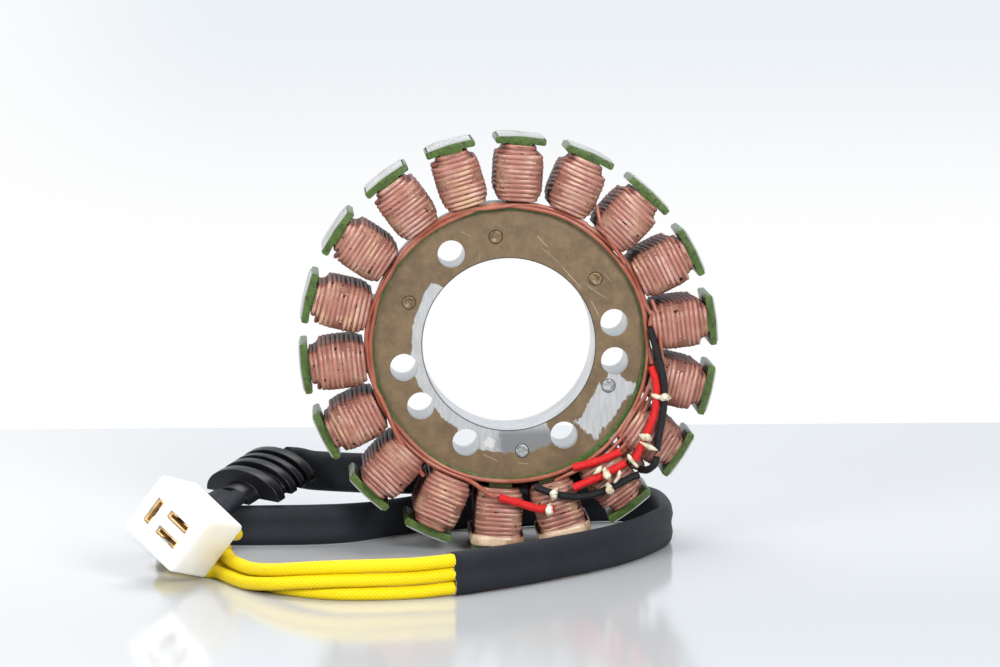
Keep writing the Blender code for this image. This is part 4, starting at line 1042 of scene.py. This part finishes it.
def build_coat():
    """The coat with its outer edges rounded, as a thick dip leaves them."""
    coat = copy_of_node("insulating_coat")
    half_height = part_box("insulating_coat")[1][1]
    start_shaping(coat, "EDGE")

    def cap_end(edge):
        first, second = (coat.data.vertices[v].co - CENTRE for v in edge.vertices)
        radius = math.hypot(first.x, first.z)
        if math.hypot(first.x - second.x, first.z - second.z) > 1e-5 or radius < CAP_INNER_RADIUS:
            return False
        sector = 360.0 / POLE_COUNT
        degrees = (math.degrees(math.atan2(first.z, first.x)) - FIRST_POLE_ANGLE) % sector
        return radius * math.sin(math.radians(min(degrees, sector - degrees))) > CAP_HALF_CHORD

    def outer_edge(edge):
        first, second = (coat.data.vertices[v].co for v in edge.vertices)
        return abs(first.y - second.y) < 1e-5 and abs(first.y) > half_height - 1e-5

    pick(coat, "EDGE", lambda edge: outer_edge(edge) or cap_end(edge))
    bpy.ops.mesh.bevel(offset=0.00065, segments=5, clamp_overlap=True)
    end_shaping()
    finish_piece(coat, "green_coat", green_coat(), ["insulating_coat"], 50.0)


def build_rivets():
    """Rivet ends, domed and set in the ring."""
    finish = rivet_steel()
    reach = STACK_HEIGHT / 2.0 + 0.0003
    for number, degrees in enumerate(RIVET_ANGLES, start=1):
        x = RIVET_CIRCLE * math.cos(math.radians(degrees))
        z = CENTRE.z + RIVET_CIRCLE * math.sin(math.radians(degrees))
        bpy.ops.mesh.primitive_cylinder_add(vertices=32, radius=0.0019, depth=reach * 2.0,
                                            location=(x, 0.0, z), rotation=(math.radians(90.0), 0.0, 0.0))
        rivet = bpy.context.object
        settle(rivet)
        start_shaping(rivet)
        pick(rivet, "FACE", lambda face: abs(face.normal.y) > 0.9)
        bpy.ops.mesh.inset(thickness=0.0007, depth=0.0)
        bpy.ops.mesh.inset(thickness=0.0004, depth=-0.00018)
        end_shaping()
        bevel_edges(rivet, 0.00028, 3)
        finish_piece(rivet, f"rivet_end_{number}", finish, [f"rivet_{number}"])


# Coils and tapes

def loop_round(half_width, half_depth, corner):
    """Points round a tooth: depth and width of a rounded rectangle, from the slot side on."""
    points = []
    for quarter, (sy, sz) in enumerate(((-1, 1), (-1, -1), (1, -1), (1, 1))):
        cy, cz = sy * (half_depth - corner), sz * (half_width - corner)
        start = (90.0, 180.0, 270.0, 0.0)[quarter]
        for step in range(7):
            angle = math.radians(start + 90.0 * step / 6)
            points.append((cy + corner * math.cos(angle), cz + corner * math.sin(angle)))
    dense = []
    for first, second in zip(points, points[1:] + points[:1]):
        parts = max(1, round(math.dist(first, second) / 0.0022))
        for part in range(parts):
            share = part / parts
            dense.append((first[0] + (second[0] - first[0]) * share,
                          first[1] + (second[1] - first[1]) * share))
    return dense


def crowned(y, z, half_width):
    """Depth of a point on the front or back of a coil, which stands proud in the middle."""
    share = min(1.0, abs(z) / half_width) ** 2
    return y - math.copysign(FACE_CROWN * share, y)


def coil_path(seed, tips=None):
    """The wire of one coil, wound up a tooth on +X, with the wobble of hand-laid turns."""
    dice = random.Random(seed)
    wire = sizes().wire
    path = []
    turns = COIL_TURNS[:-2] + (tips or COIL_TURNS[-2:])
    pitch = (COIL_REACH - wire) / (len(turns) - 1)
    for turn, (half_width, half_depth) in enumerate(turns):
        corner = 0.0030 if turn not in (0, len(turns) - 1, len(turns) - 2) else 0.0024
        loop = loop_round(half_width + dice.uniform(-0.00006, 0.00006),
                          half_depth + dice.uniform(-0.00010, 0.00006), corner)
        base = COIL_START + wire * 0.5 + turn * pitch
        tilt = dice.uniform(-0.00016, 0.00016)
        wave = dice.uniform(0.0, 6.28)
        for step, (y, z) in enumerate(loop):
            share = step / len(loop)
            lift = max(0.0, (share - 0.80) / 0.20)
            lift = lift * lift * (3.0 - 2.0 * lift)
            wobble = 0.00008 * math.sin(wave + share * 12.6) + tilt * (z / half_width)
            edge = lift * pitch if turn < len(turns) - 1 else 0.0
            path.append((base + edge + wobble, crowned(y, z, half_width), z))
    return smooth_route(path, 0.0013)


def varnish_core():
    """The varnish between the turns of a coil on +X, with its grooves nearly full."""
    wire, proud = sizes().wire, 0.00047
    pitch = (COIL_REACH - wire) / (len(COIL_TURNS) - 1)
    rows = [(COIL_START + 0.0002, COIL_TURNS[0])]
    rows += [(COIL_START + wire * 0.5 + turn * pitch, size) for turn, size in enumerate(COIL_TURNS)]
    rows.append((COIL_START + COIL_REACH - 0.0002, COIL_TURNS[-1]))
    rings = []
    for radius, (half_width, half_depth) in rows:
        ring = []
        for quarter, (sy, sz) in enumerate(((-1, 1), (-1, -1), (1, -1), (1, 1))):
            cy, cz = sy * (half_depth + proud - 0.0030), sz * (half_width + proud - 0.0030)
            for step in range(6):
                angle = math.radians((90.0, 180.0, 270.0, 0.0)[quarter] + 90.0 * step / 5)
                y, z = cy + 0.0030 * math.cos(angle), cz + 0.0030 * math.sin(angle)
                ring.append((radius, crowned(y, z, half_width), z))
            if quarter in (0, 2):
                for z in (0.5, 0.0, -0.5):
                    z = -sy * z * (half_width - 0.0030)
                    ring.append((radius, crowned(sy * (half_depth + proud), z, half_width), z))
        rings.append(ring)
    return swept("varnish", rings, [0.0] * 31)


def build_coils():
    """A wound coil on each pole, over a core of set varnish."""
    wire = sizes().wire
    windings = []
    reach = (COIL_START + COIL_REACH + 0.0002 - wire / 2, 0.01537, 0.00617)
    for seed in range(5):
        tips = ((0.00600, 0.01420), (0.00590, 0.01380)) if seed == 4 else None
        path = np.clip(coil_path(seed + 11, tips), [COIL_START + wire / 2, -reach[1], -reach[2]], reach)
        windings.append(tube("winding", path, wire / 2.0, 10).data)
    core_mesh = varnish_core().data
    for made in [thing for thing in bpy.data.objects if thing.name.startswith(("winding", "varnish"))]:
        bpy.data.objects.remove(made, do_unlink=True)
    copper = varnished_copper("varnished copper", colours().copper, 0.75, True)
    varnish = set_varnish()
    order = (0, 1, 2, 3, 1, 0, 3, 2, 0, 2, 1, 3, 0, 1, 3, 2, 1, 0)
    for pole in range(POLE_COUNT):
        node = f"coil_{pole + 1:02d}"
        coil = in_scene(node, windings[4 if pole in TAPE_POLES else order[pole]].copy())
        mould(coil, pole_turn(pole))
        finish_piece(coil, f"winding_{pole + 1:02d}", copper, [node], 60.0)
        core = in_scene("core", core_mesh.copy())
        mould(core, pole_turn(pole))
        finish_piece(core, f"winding_core_{pole + 1:02d}", varnish, (), 60.0)


def build_tapes():
    """Glass-cloth tape round two coils."""
    finish = glass_tape()
    half_width, half_depth, corner = 0.0074, 0.0146, 0.0046
    levels = ((0.0549, 0.00000), (0.0552, 0.00028), (0.0560, 0.00040), (0.0568, 0.00038), (0.0576, 0.00020),
              (0.0579, -0.00006), (0.0576, -0.00022), (0.0564, -0.00006), (0.0552, -0.00020))
    for number, pole in enumerate(TAPE_POLES, start=1):
        dice = random.Random(number)
        loop = loop_round(half_width, half_depth, corner)
        sway = [0.00012 * math.sin(0.5 * step + dice.uniform(0.0, 0.6)) for step in range(len(loop))]
        points = []
        for radius, out in levels:
            for (y, z), lean in zip(loop, sway):
                length = math.hypot(y / half_depth, z / half_width)
                points.append((radius + lean, y + out * y / half_depth / length * 1.2,
                               z + out * z / half_width / length * 1.2))
        count = len(loop)
        faces = []
        for level in range(len(levels)):
            after = (level + 1) % len(levels)
            faces += [(level * count + step, level * count + (step + 1) % count,
                       after * count + (step + 1) % count, after * count + step) for step in range(count)]
        band = mesh_piece("tape", points, faces)
        mould(band, pole_turn(pole))
        start_shaping(band)
        bpy.ops.mesh.select_all(action="SELECT")
        bpy.ops.mesh.normals_make_consistent(inside=False)
        end_shaping()
        finish_piece(band, f"cloth_tape_{number}", finish, [f"tape_band_{number}"], 50.0)


# Wires and leads on the stator

def build_crossovers():
    """Wires laid round the yoke from coil to coil."""
    finish = varnished_copper("crossover wire", colours().crossover, 0.15)
    y = -(STACK_HEIGHT / 2.0 + CROSSOVER_RISE)
    for number, (name, radius, start, end, lift) in enumerate(CROSSOVERS):
        points = []
        for degrees in np.linspace(start, end, max(5, round(abs(end - start) / 6.0)) + 1):
            angle = math.radians(degrees)
            inner = number in (0, 3)
            cross = sum(math.exp(-((degrees - middle) / 9.0) ** 2) for middle in (97.0, 152.0, 205.0))
            sway = 0.00016 * math.sin(degrees * 0.11 + number * 2.0) + (0.00012 if inner else -0.00014)
            sway += (0.00105 if inner else -0.00105) * cross if number < 2 else 0.0
            rise = 0.00085 * cross if number == 1 else 0.0
            reach = radius + sway
            points.append((reach * math.cos(angle), y - rise, CENTRE.z + reach * math.sin(angle)))
        points += above_axis(lift)
        piece = tube(name, smooth_route(points, 0.0012), 0.00066, 12)
        finish_piece(piece, name + "_wire", finish, [name], 60.0)
    dark = set_varnish()
    # Painted shade: dark varnish lumps fill the gaps between the leads and the coils.
    for number, route in enumerate(VARNISH_AND_SHADE_DROPS, start=1):
        points = smooth_route(above_axis(route), 0.0006)
        share = np.linspace(-1.0, 1.0, len(points))
        size = 0.0023 * np.sqrt(1.02 - share ** 2) * (1.0 + 0.10 * np.sin(4.0 * share + number))
        drop = tube("drop", points, list(size), 16)
        finish_piece(drop, f"varnish_drop_{number}", dark, (), 60.0)
    for number, route in enumerate(LOOSE_WIRES, start=1):
        piece = tube("loose", smooth_route(above_axis(route), 0.0010), 0.00060, 10)
        finish_piece(piece, f"loose_wire_{number}", finish, (), 60.0)


def build_lead_sleeves():
    """Woven glass sleeves over the leads."""
    looks = {"red": braided("red glass sleeve", colours().red, 0.00090, 0.36, 0.35, 0.00022),
             "black": braided("black glass sleeve", colours().black, 0.00090, 0.30, 0.34, 0.00026)}
    for kind, radius, routes in (("red", sizes().red_sleeve / 2.0, RED_SLEEVE_ROUTES),
                                 ("black", sizes().black_sleeve / 2.0, BLACK_SLEEVE_ROUTES)):
        for number, route in enumerate(routes, start=1):
            points = smooth_route(above_axis(route), 0.0006)
            sag = [radius * (1.0 - 0.05 * (1.0 + math.sin(0.9 * step + number)))
                   for step in range(len(points))]
            piece = tube(f"{kind}_sleeve", points, sag, 18)
            finish_piece(piece, f"{kind}_sleeve_{number}", looks[kind],
                         [f"{kind}_lead_sleeve_{number}"], 60.0)


def build_ties():
    """Lacing cord wound round the leads and knotted in front."""
    finish = waxed_cord()
    radii = {"red": sizes().red_sleeve / 2.0, "black": sizes().black_sleeve / 2.0}
    routes = {"red": RED_SLEEVE_ROUTES, "black": BLACK_SLEEVE_ROUTES}
    for number, (kind, which, share) in enumerate(TIES, start=1):
        points = smooth_route(above_axis(routes[kind][which]), radii[kind] * 3.2)
        place = share * (len(points) - 1)
        index = min(int(place), len(points) - 2)
        middle = points[index] + (points[index + 1] - points[index]) * (place - index)
        ahead = points[index + 1] - points[index]
        ahead = ahead / np.linalg.norm(ahead)
        front = np.array((0.0, -1.0, 0.0))
        front = front - ahead * np.dot(front, ahead)
        front = front / np.linalg.norm(front)
        side = np.cross(ahead, front)
        dice = random.Random(number)
        path = []
        size = []
        for step in range(65):
            sweep = math.radians(-62.0 + 124.0 * step / 64.0)
            knot = math.exp(-(sweep / 0.42) ** 2)
            cord = 0.00042 + 0.00072 * knot * (0.90 + 0.10 * math.sin(step * 0.5 + number))
            reach = radii[kind] + 0.0003 + min(cord, 0.0011)
            path.append(middle + (front * math.cos(sweep) + side * math.sin(sweep)) * reach
                        + ahead * 0.00025 * math.sin(step * 0.35 + dice.uniform(0.0, 0.4)))
            size.append(cord)
        piece = tube("tie", path, size, 12)
        finish_piece(piece, f"lacing_knot_{number}", finish, [f"lacing_tie_{number}"], 60.0)
    for number, route in enumerate(STRINGS, start=1):
        points = smooth_route(above_axis(route), 0.0005)
        share = np.linspace(-1.0, 1.0, len(points))
        size = list(0.00066 * np.sqrt(1.04 - share ** 2) * (1.0 + 0.22 * np.sin(3.0 * share + number)))
        string = tube("string", points, size, 10)
        finish_piece(string, f"lacing_string_{number}", finish, (), 60.0)


# Harness

def flat_path(route, spacing):
    return smooth_route([(x / 1000.0, y / 1000.0, z / 1000.0, roll) for x, y, z, roll in route], spacing)


def flat_rings(points, width, thickness, waver):
    """Rings of a flat woven tube that follows a route and rolls with it."""
    middle = points[:, :3]
    heading = np.gradient(middle, axis=0)
    heading /= np.linalg.norm(heading, axis=1)[:, None]
    radius = thickness / 2.0
    rings = []
    for number, (centre, ahead, roll) in enumerate(zip(middle, heading, np.radians(points[:, 3]))):
        side = np.cross(ahead, (0.0, 0.0, 1.0))
        side /= np.linalg.norm(side)
        up = np.cross(side, ahead)
        wide = up * math.cos(roll) + side * math.sin(roll)
        thin = np.cross(ahead, wide)
        ring = []
        for end in (1.0, -1.0):
            for degrees in np.linspace(90.0, -90.0, 9):
                angle = math.radians(degrees)
                across = (width / 2.0 - radius) + radius * math.cos(angle)
                pinch = 1.0 + waver * math.sin(number * 0.23 + end) - 0.10
                ring.append(centre + end * (wide * across + thin * radius * math.sin(angle) * pinch))
            for share in (0.75, 0.5, 0.25, 0.0, -0.25, -0.5, -0.75):
                bulge = radius * (0.90 + waver * math.sin(number * 0.19 + 5.0 * share)
                                  - 0.10 * math.cos(share * math.pi))
                ring.append(centre + end * (wide * share * (width / 2.0 - radius) - thin * bulge))
        rings.append(ring)
    return np.array(rings)


def open_end(rings, inset, depth):
    """Adds the thickness of the weave and a dark hollow to the last ring."""
    last = rings[-1]
    middle = last.mean(axis=0)
    ahead = rings[-1].mean(axis=0) - rings[-2].mean(axis=0)
    ahead = ahead / np.linalg.norm(ahead)
    inner = []
    for point in last:
        out = point - middle
        inner.append(middle + out * (1.0 - inset / max(np.linalg.norm(out), inset * 2.0)))
    inner = np.array(inner)
    return np.concatenate([rings, [inner], [inner - ahead * depth]])


def build_flat_sleeves():
    """The two runs of the flat woven sleeve."""
    width, thickness = sizes().flat_width, sizes().flat_thickness
    finish = flat_weave()
    for name, node, route, end, pieces in (
            ("flat_sleeve_rear", "rear_harness_sleeve", REAR_SLEEVE_ROUTE, "fitting", ["grommet_moulding"]),
            ("flat_sleeve_front", "front_harness_sleeve", FRONT_SLEEVE_ROUTE, "bare", ())):
        points = flat_path(route, 0.0018)
        rings = flat_rings(points, width, thickness, 0.009)
        if end == "bare":
            rings = open_end(rings, 0.00055, 0.0022)
        first = rings[0]
        steps = np.concatenate([[0.0], np.cumsum(np.linalg.norm(np.diff(
            np.vstack([first, first[:1]]), axis=0), axis=1))])
        piece = swept(name, rings, steps)
        if end == "bare":
            piece.data.materials.append(finish)
            piece.data.materials.append(cut_weave())
            sides = rings.shape[1]
            for face in piece.data.polygons:
                if max(face.vertices) >= (len(rings) - 2) * sides:
                    face.material_index = 1
            finish_piece(piece, name, None, [node], 50.0)
        else:
            finish_piece(piece, name, finish, [node], 50.0)


def housing_place():
    """The connector's place: X across, Y from its face to its wires, Z up its face."""
    pitch, roll, yaw = HOUSING_TURN
    turn = Matrix.Rotation(yaw, 4, "Z") @ Matrix.Rotation(pitch, 4, "X") @ Matrix.Rotation(roll, 4, "Y")
    return Matrix.Translation(HOUSING_FACE_CENTRE) @ turn


def wire_route(number):
    """Points of one yellow wire, from its place in the bunch to its socket in the connector."""
    rows = np.array(BUNCH_ROUTE) / 1000.0
    place = housing_place()
    x, z, _ = TERMINAL_PLACES[number]
    middle = place @ Vector((0.0, HOUSING_LENGTH + WIRE_STRAIGHT_RUN, 0.0))
    ways = np.vstack([rows[:, :2], (middle.x, middle.y)])
    heading = np.gradient(ways, axis=0)[:-1]
    heading /= np.linalg.norm(heading, axis=1)[:, None]
    route = []
    for row, (ahead_x, ahead_y) in zip(rows, heading):
        left, height = row[2 + 2 * number], row[3 + 2 * number]
        route.append((row[0] - ahead_y * left, row[1] + ahead_x * left, height))
    for distance in (HOUSING_LENGTH + WIRE_STRAIGHT_RUN, HOUSING_LENGTH + WIRE_STRAIGHT_RUN / 2.0,
                     HOUSING_LENGTH, HOUSING_LENGTH - 0.0027):
        route.append(tuple(place @ Vector((x, distance, z))))
    return route


def build_yellow_wires():
    """Three braided wires from the sleeve's end to the connector."""
    radius = sizes().yellow_wire / 2.0
    finish = braided("yellow braid", colours().yellow, 0.0012, 0.54, 0.25, 0.00024)
    for number in range(3):
        points = smooth_route(wire_route(number), 0.0011)
        step = points[1] - points[0]
        inward = points[0] - np.array(step / np.linalg.norm(step)) * 0.0015
        points = np.vstack([inward, points])
        piece = tube("yellow", points, radius, 20)
        finish_piece(piece, f"yellow_braid_{number + 1}", finish,
                     [f"yellow_wire_{number + 1}"], 60.0)


def build_grommet():
    """Half-round moulding with four ribs and a boss at each end."""
    ribs = ((0.0, 0.0034), (0.0066, 0.0094), (0.0112, 0.0134), (0.0156, 0.0186))
    rib = (0.0131, 0.0080, 0.0009)
    groove = (0.0110, 0.0059, 0.00045)
    boss = (0.0062, 0.0046, 0.00045)
    profile = [(-0.0050, boss), (0.0, boss)]
    for start, end in ribs:
        if start > 0.0:
            profile.append((start, groove))
        profile += [(start, rib), (end, rib)]
        if end < ribs[-1][1]:
            profile.append((end, groove))
    profile += [(ribs[-1][1], boss), (ribs[-1][1] + 0.0009, boss)]
    bpy.ops.mesh.primitive_circle_add(vertices=96, radius=1.0, fill_type="NGON")
    block = bpy.context.object
    start_shaping(block)
    bpy.ops.mesh.select_all(action="SELECT")
    bpy.ops.mesh.bisect(plane_co=(0, 0, 0), plane_no=(0, -1, 0), clear_outer=True)
    bpy.ops.mesh.select_all(action="SELECT")
    where, (wide, tall, _) = profile[0]
    bpy.ops.transform.translate(value=(0.0, 0.0, where))
    bpy.ops.transform.resize(value=(wide, tall, 1.0), center_override=(0, 0, 0))
    for (before, old), (after, new) in zip(profile, profile[1:]):
        bpy.ops.mesh.extrude_region_move(
            TRANSFORM_OT_translate={"value": (0.0, 0.0, after - before)})
        if old != new:
            bpy.ops.transform.resize(value=(new[0] / old[0], new[1] / old[1], 1.0),
                                     center_override=(0, 0, 0))
    bpy.ops.mesh.select_all(action="SELECT")
    bpy.ops.mesh.remove_doubles(threshold=0.000002)
    bpy.ops.mesh.normals_make_consistent(inside=False)
    end_shaping()
    bevel_edges(block, 0.00028, 3, 40.0)
    along = Vector(GROMMET_AXIS).normalized()
    across = Vector(GROMMET_CHORD)
    across = (across - along * across.dot(along)).normalized()
    rise = along.cross(across)
    if rise.z < 0.0:
        rise = -rise
    place = Matrix((across, rise, along)).transposed().to_4x4()
    place.translation = Vector(GROMMET_SEAT)
    mould(block, place)
    start_shaping(block)
    bpy.ops.mesh.select_all(action="SELECT")
    bpy.ops.mesh.normals_make_consistent(inside=False)
    end_shaping()
    finish_piece(block, "grommet_moulding", dull_rubber(), ["grommet"], 40.0)


def build_connector():
    """Milky housing with its cavities and brass receptacles."""
    place = housing_place()
    nylon = milky_nylon()
    bpy.ops.mesh.primitive_cube_add(size=1.0, location=(0.0, HOUSING_LENGTH / 2.0, 0.0),
                                    scale=(HOUSING_WIDTH, HOUSING_LENGTH, HOUSING_HEIGHT))
    body = bpy.context.object
    settle(body)
    bevel_edges(body, 0.0011, 4)
    tools = []
    for x, z, degrees in TERMINAL_PLACES:
        turn = Matrix.Translation((x, 0.0, z)) @ Matrix.Rotation(math.radians(degrees), 4, "Y")
        bpy.ops.mesh.primitive_cube_add(size=1.0, scale=(0.0078, 0.0284, 0.0026))
        slot = bpy.context.object
        settle(slot)
        bevel_edges(slot, 0.0003, 2)
        mould(slot, turn)
        bpy.ops.mesh.primitive_cylinder_add(vertices=32, radius=0.0021, depth=0.006,
                                            location=(x, HOUSING_LENGTH, z),
                                            rotation=(math.radians(90), 0, 0))
        socket = bpy.context.object
        settle(socket)
        tools += [slot, socket]
    for tool in tools:
        combine(body, tool, "DIFFERENCE")
    mould(body, place)
    finish_piece(body, "nylon_housing", nylon, ["connector_housing"], 40.0)
    brass = pressed_brass()
    for number in (1, 2, 3):
        terminal = copy_of_node(f"terminal_{number}")
        bevel_edges(terminal, 0.00012, 2)
        finish_piece(terminal, f"receptacle_{number}", brass, [f"terminal_{number}"])


# Stage

def build_stage():
    """Pale glossy floor with painted shade, plain backdrop with a painted falloff of its glow, soft lights
    and the camera.
    """
    floor_finish = Finish("studio floor", 0.12, Specular_IOR_Level=0.35)
    tree = floor_finish.tree
    x, y, _ = floor_finish.split(floor_finish.place)
    # Painted shade: the floor is painted darker towards the front and the right, and darker still in front
    # of the stator.
    near = step_up(tree, calc(tree, "MULTIPLY", y, -1.0), -0.10, 0.20)
    right = step_up(tree, x, -0.16, 0.20)
    grey = calc(tree, "MULTIPLY", calc(tree, "ADD", near, right), 0.5)
    tone = blend_colours(tree, grey, (0.54, 0.55, 0.56), (0.415, 0.43, 0.445))
    front = step_up(tree, calc(tree, "MULTIPLY", y, -1.0), 0.0, 0.13)
    share = calc(tree, "MULTIPLY_ADD", step_up(tree, x, -0.14, 0.06), 0.75, 0.25)
    floor_finish.colour(blend_colours(tree, calc(tree, "MULTIPLY", front, share), tone,
                                      (0.410, 0.425, 0.44)))
    bpy.ops.mesh.primitive_plane_add(size=1.0, location=(0.0, -0.45, 0.0))
    bpy.ops.transform.resize(value=(4.0, 1.4, 1.0))
    floor = bpy.context.object
    floor.name = "studio_floor"
    settle(floor)
    floor.data.materials.append(floor_finish.material)
    bpy.ops.mesh.primitive_plane_add(size=1.0, location=(0.0, 1.6, 0.9), rotation=(math.radians(90), 0, 0))
    bpy.ops.transform.resize(value=(8.0, 1.0, 6.0))
    wall = bpy.context.object
    wall.name = "studio_wall"
    settle(wall)
    wall_finish = bpy.data.materials.new("studio wall")
    wall_finish.use_nodes = True
    tree = wall_finish.node_tree
    tree.nodes.clear()
    glow = tree.nodes.new("ShaderNodeEmission")
    where = tree.nodes.new("ShaderNodeTexCoord").outputs["Object"]
    parts = tree.nodes.new("ShaderNodeSeparateXYZ")
    tree.links.new(where, parts.inputs[0])
    # Painted shade: the backdrop's glow is painted dimmer and bluer towards the top and the left.
    top = step_up(tree, parts.outputs[2], -0.08, 0.12)
    side = step_up(tree, parts.outputs[0], -0.30, -0.09)
    dim = calc(tree, "MULTIPLY", top, calc(tree, "ADD", calc(tree, "MULTIPLY", side, 0.75), 0.25))
    tree.links.new(blend_colours(tree, dim, (1.0, 1.0, 1.0), (0.83, 0.875, 0.92)), glow.inputs["Color"])
    glow.inputs["Strength"].default_value = 1.0
    output = tree.nodes.new("ShaderNodeOutputMaterial")
    tree.links.new(glow.outputs[0], output.inputs[0])
    wall.data.materials.append(wall_finish)
    world = bpy.data.worlds.new("studio")
    bpy.context.scene.world = world
    world.use_nodes = True
    world.node_tree.nodes["Background"].inputs["Color"].default_value = (0.95, 0.97, 1.0, 1.0)
    world.node_tree.nodes["Background"].inputs["Strength"].default_value = 0.40
    for name, where, aim, size, power in (
            ("left_softbox", (-0.8, -1.0, 0.55), (0.0, 0.0, 0.05), 0.5, 11.0),
            ("right_softbox", (0.42, -1.15, 0.62), (0.0, 0.0, 0.05), 0.40, 15.0),
            ("top_softbox", (0.0, 0.15, 1.1), (0.0, 0.0, 0.05), 0.9, 12.0)):
        lamp = bpy.data.lights.new(name, "AREA")
        lamp.shape = "SQUARE"
        lamp.size = size
        lamp.energy = power
        light = in_scene(name, lamp)
        light.location = where
        light.rotation_euler = (Vector(aim) - Vector(where)).to_track_quat("-Z", "Y").to_euler()
    lens = bpy.data.cameras.new("studio_camera")
    lens.lens = 139.75
    lens.sensor_width = 36.0
    lens.clip_end = 20.0
    camera = in_scene("studio_camera", lens)
    camera.location = (-0.0582, -1.1087, 0.1908)
    camera.rotation_euler = (math.radians(90.0 - 6.62), 0.0, math.radians(-2.90))
    bpy.context.scene.camera = camera
    bpy.context.scene.view_settings.view_transform = "Standard"


# Operators

class STATOR_OT_stack(bpy.types.Operator):
    """Build the lamination stack with round holes and its worn faces."""
    bl_idname = "stator.stack"
    bl_label = "Lamination Stack"

    def execute(self, context):
        build_stack()
        return {"FINISHED"}


class STATOR_OT_coat(bpy.types.Operator):
    """Build the green insulating coat."""
    bl_idname = "stator.coat"
    bl_label = "Insulating Coat"

    def execute(self, context):
        build_coat()
        return {"FINISHED"}


class STATOR_OT_rivets(bpy.types.Operator):
    """Build the rivet ends."""
    bl_idname = "stator.rivets"
    bl_label = "Rivets"

    def execute(self, context):
        build_rivets()
        return {"FINISHED"}


class STATOR_OT_coils(bpy.types.Operator):
    """Wind a coil on each pole."""
    bl_idname = "stator.coils"
    bl_label = "Coils"

    def execute(self, context):
        build_coils()
        return {"FINISHED"}


class STATOR_OT_tapes(bpy.types.Operator):
    """Wrap the tape round its two coils."""
    bl_idname = "stator.tapes"
    bl_label = "Cloth Tapes"

    def execute(self, context):
        build_tapes()
        return {"FINISHED"}


class STATOR_OT_crossovers(bpy.types.Operator):
    """Lay the wires from coil to coil."""
    bl_idname = "stator.crossovers"
    bl_label = "Crossover Wires"

    def execute(self, context):
        build_crossovers()
        return {"FINISHED"}


class STATOR_OT_leads(bpy.types.Operator):
    """Build the red and black lead sleeves."""
    bl_idname = "stator.leads"
    bl_label = "Lead Sleeves"

    def execute(self, context):
        build_lead_sleeves()
        return {"FINISHED"}


class STATOR_OT_ties(bpy.types.Operator):
    """Tie the leads with lacing cord."""
    bl_idname = "stator.ties"
    bl_label = "Lacing Ties"

    def execute(self, context):
        build_ties()
        return {"FINISHED"}


class STATOR_OT_grommet(bpy.types.Operator):
    """Build the ribbed grommet."""
    bl_idname = "stator.grommet"
    bl_label = "Grommet"

    def execute(self, context):
        build_grommet()
        return {"FINISHED"}


class STATOR_OT_connector(bpy.types.Operator):
    """Build the connector and its terminals."""
    bl_idname = "stator.connector"
    bl_label = "Connector"

    def execute(self, context):
        build_connector()
        return {"FINISHED"}


class STATOR_OT_flat_sleeves(bpy.types.Operator):
    """Build the flat woven sleeves."""
    bl_idname = "stator.flat_sleeves"
    bl_label = "Flat Sleeves"

    def execute(self, context):
        build_flat_sleeves()
        return {"FINISHED"}


class STATOR_OT_yellow_wires(bpy.types.Operator):
    """Build the three yellow wires."""
    bl_idname = "stator.yellow_wires"
    bl_label = "Yellow Wires"

    def execute(self, context):
        build_yellow_wires()
        return {"FINISHED"}


class STATOR_OT_stage(bpy.types.Operator):
    """Set up the floor, the lights and the camera."""
    bl_idname = "stator.stage"
    bl_label = "Stage"

    def execute(self, context):
        build_stage()
        return {"FINISHED"}


OPERATORS = (STATOR_OT_stage, STATOR_OT_grommet, STATOR_OT_connector, STATOR_OT_flat_sleeves,
             STATOR_OT_yellow_wires, STATOR_OT_stack, STATOR_OT_coat, STATOR_OT_rivets,
             STATOR_OT_coils, STATOR_OT_tapes, STATOR_OT_crossovers, STATOR_OT_leads, STATOR_OT_ties)


class STATOR_PT_panel(bpy.types.Panel):
    """Lists the pieces, their sizes and their colours."""
    bl_label = "Stator"
    bl_idname = "STATOR_PT_panel"
    bl_space_type = "VIEW_3D"
    bl_region_type = "UI"
    bl_category = "Stator"

    def draw(self, context):
        for operator in OPERATORS:
            self.layout.operator(operator.bl_idname)
        for group in (context.scene.stator_sizes, context.scene.stator_colours):
            for name in group.__annotations__:
                self.layout.prop(group, name)


CLASSES = (StatorSizes, StatorColours, *OPERATORS, STATOR_PT_panel)


def register():
    for made in CLASSES:
        bpy.utils.register_class(made)
    bpy.types.Scene.stator_sizes = bpy.props.PointerProperty(type=StatorSizes)
    bpy.types.Scene.stator_colours = bpy.props.PointerProperty(type=StatorColours)


def unregister():
    del bpy.types.Scene.stator_colours
    del bpy.types.Scene.stator_sizes
    for made in reversed(CLASSES):
        bpy.utils.unregister_class(made)


def main():
    register()
    bpy.ops.stator.stage()
    bpy.ops.stator.grommet()
    bpy.ops.stator.connector()
    bpy.ops.stator.flat_sleeves()
    bpy.ops.stator.yellow_wires()
    bpy.ops.stator.stack()
    bpy.ops.stator.coat()
    bpy.ops.stator.rivets()
    bpy.ops.stator.coils()
    bpy.ops.stator.tapes()
    bpy.ops.stator.crossovers()
    bpy.ops.stator.leads()
    bpy.ops.stator.ties()


if __name__ == "__main__":
    main()
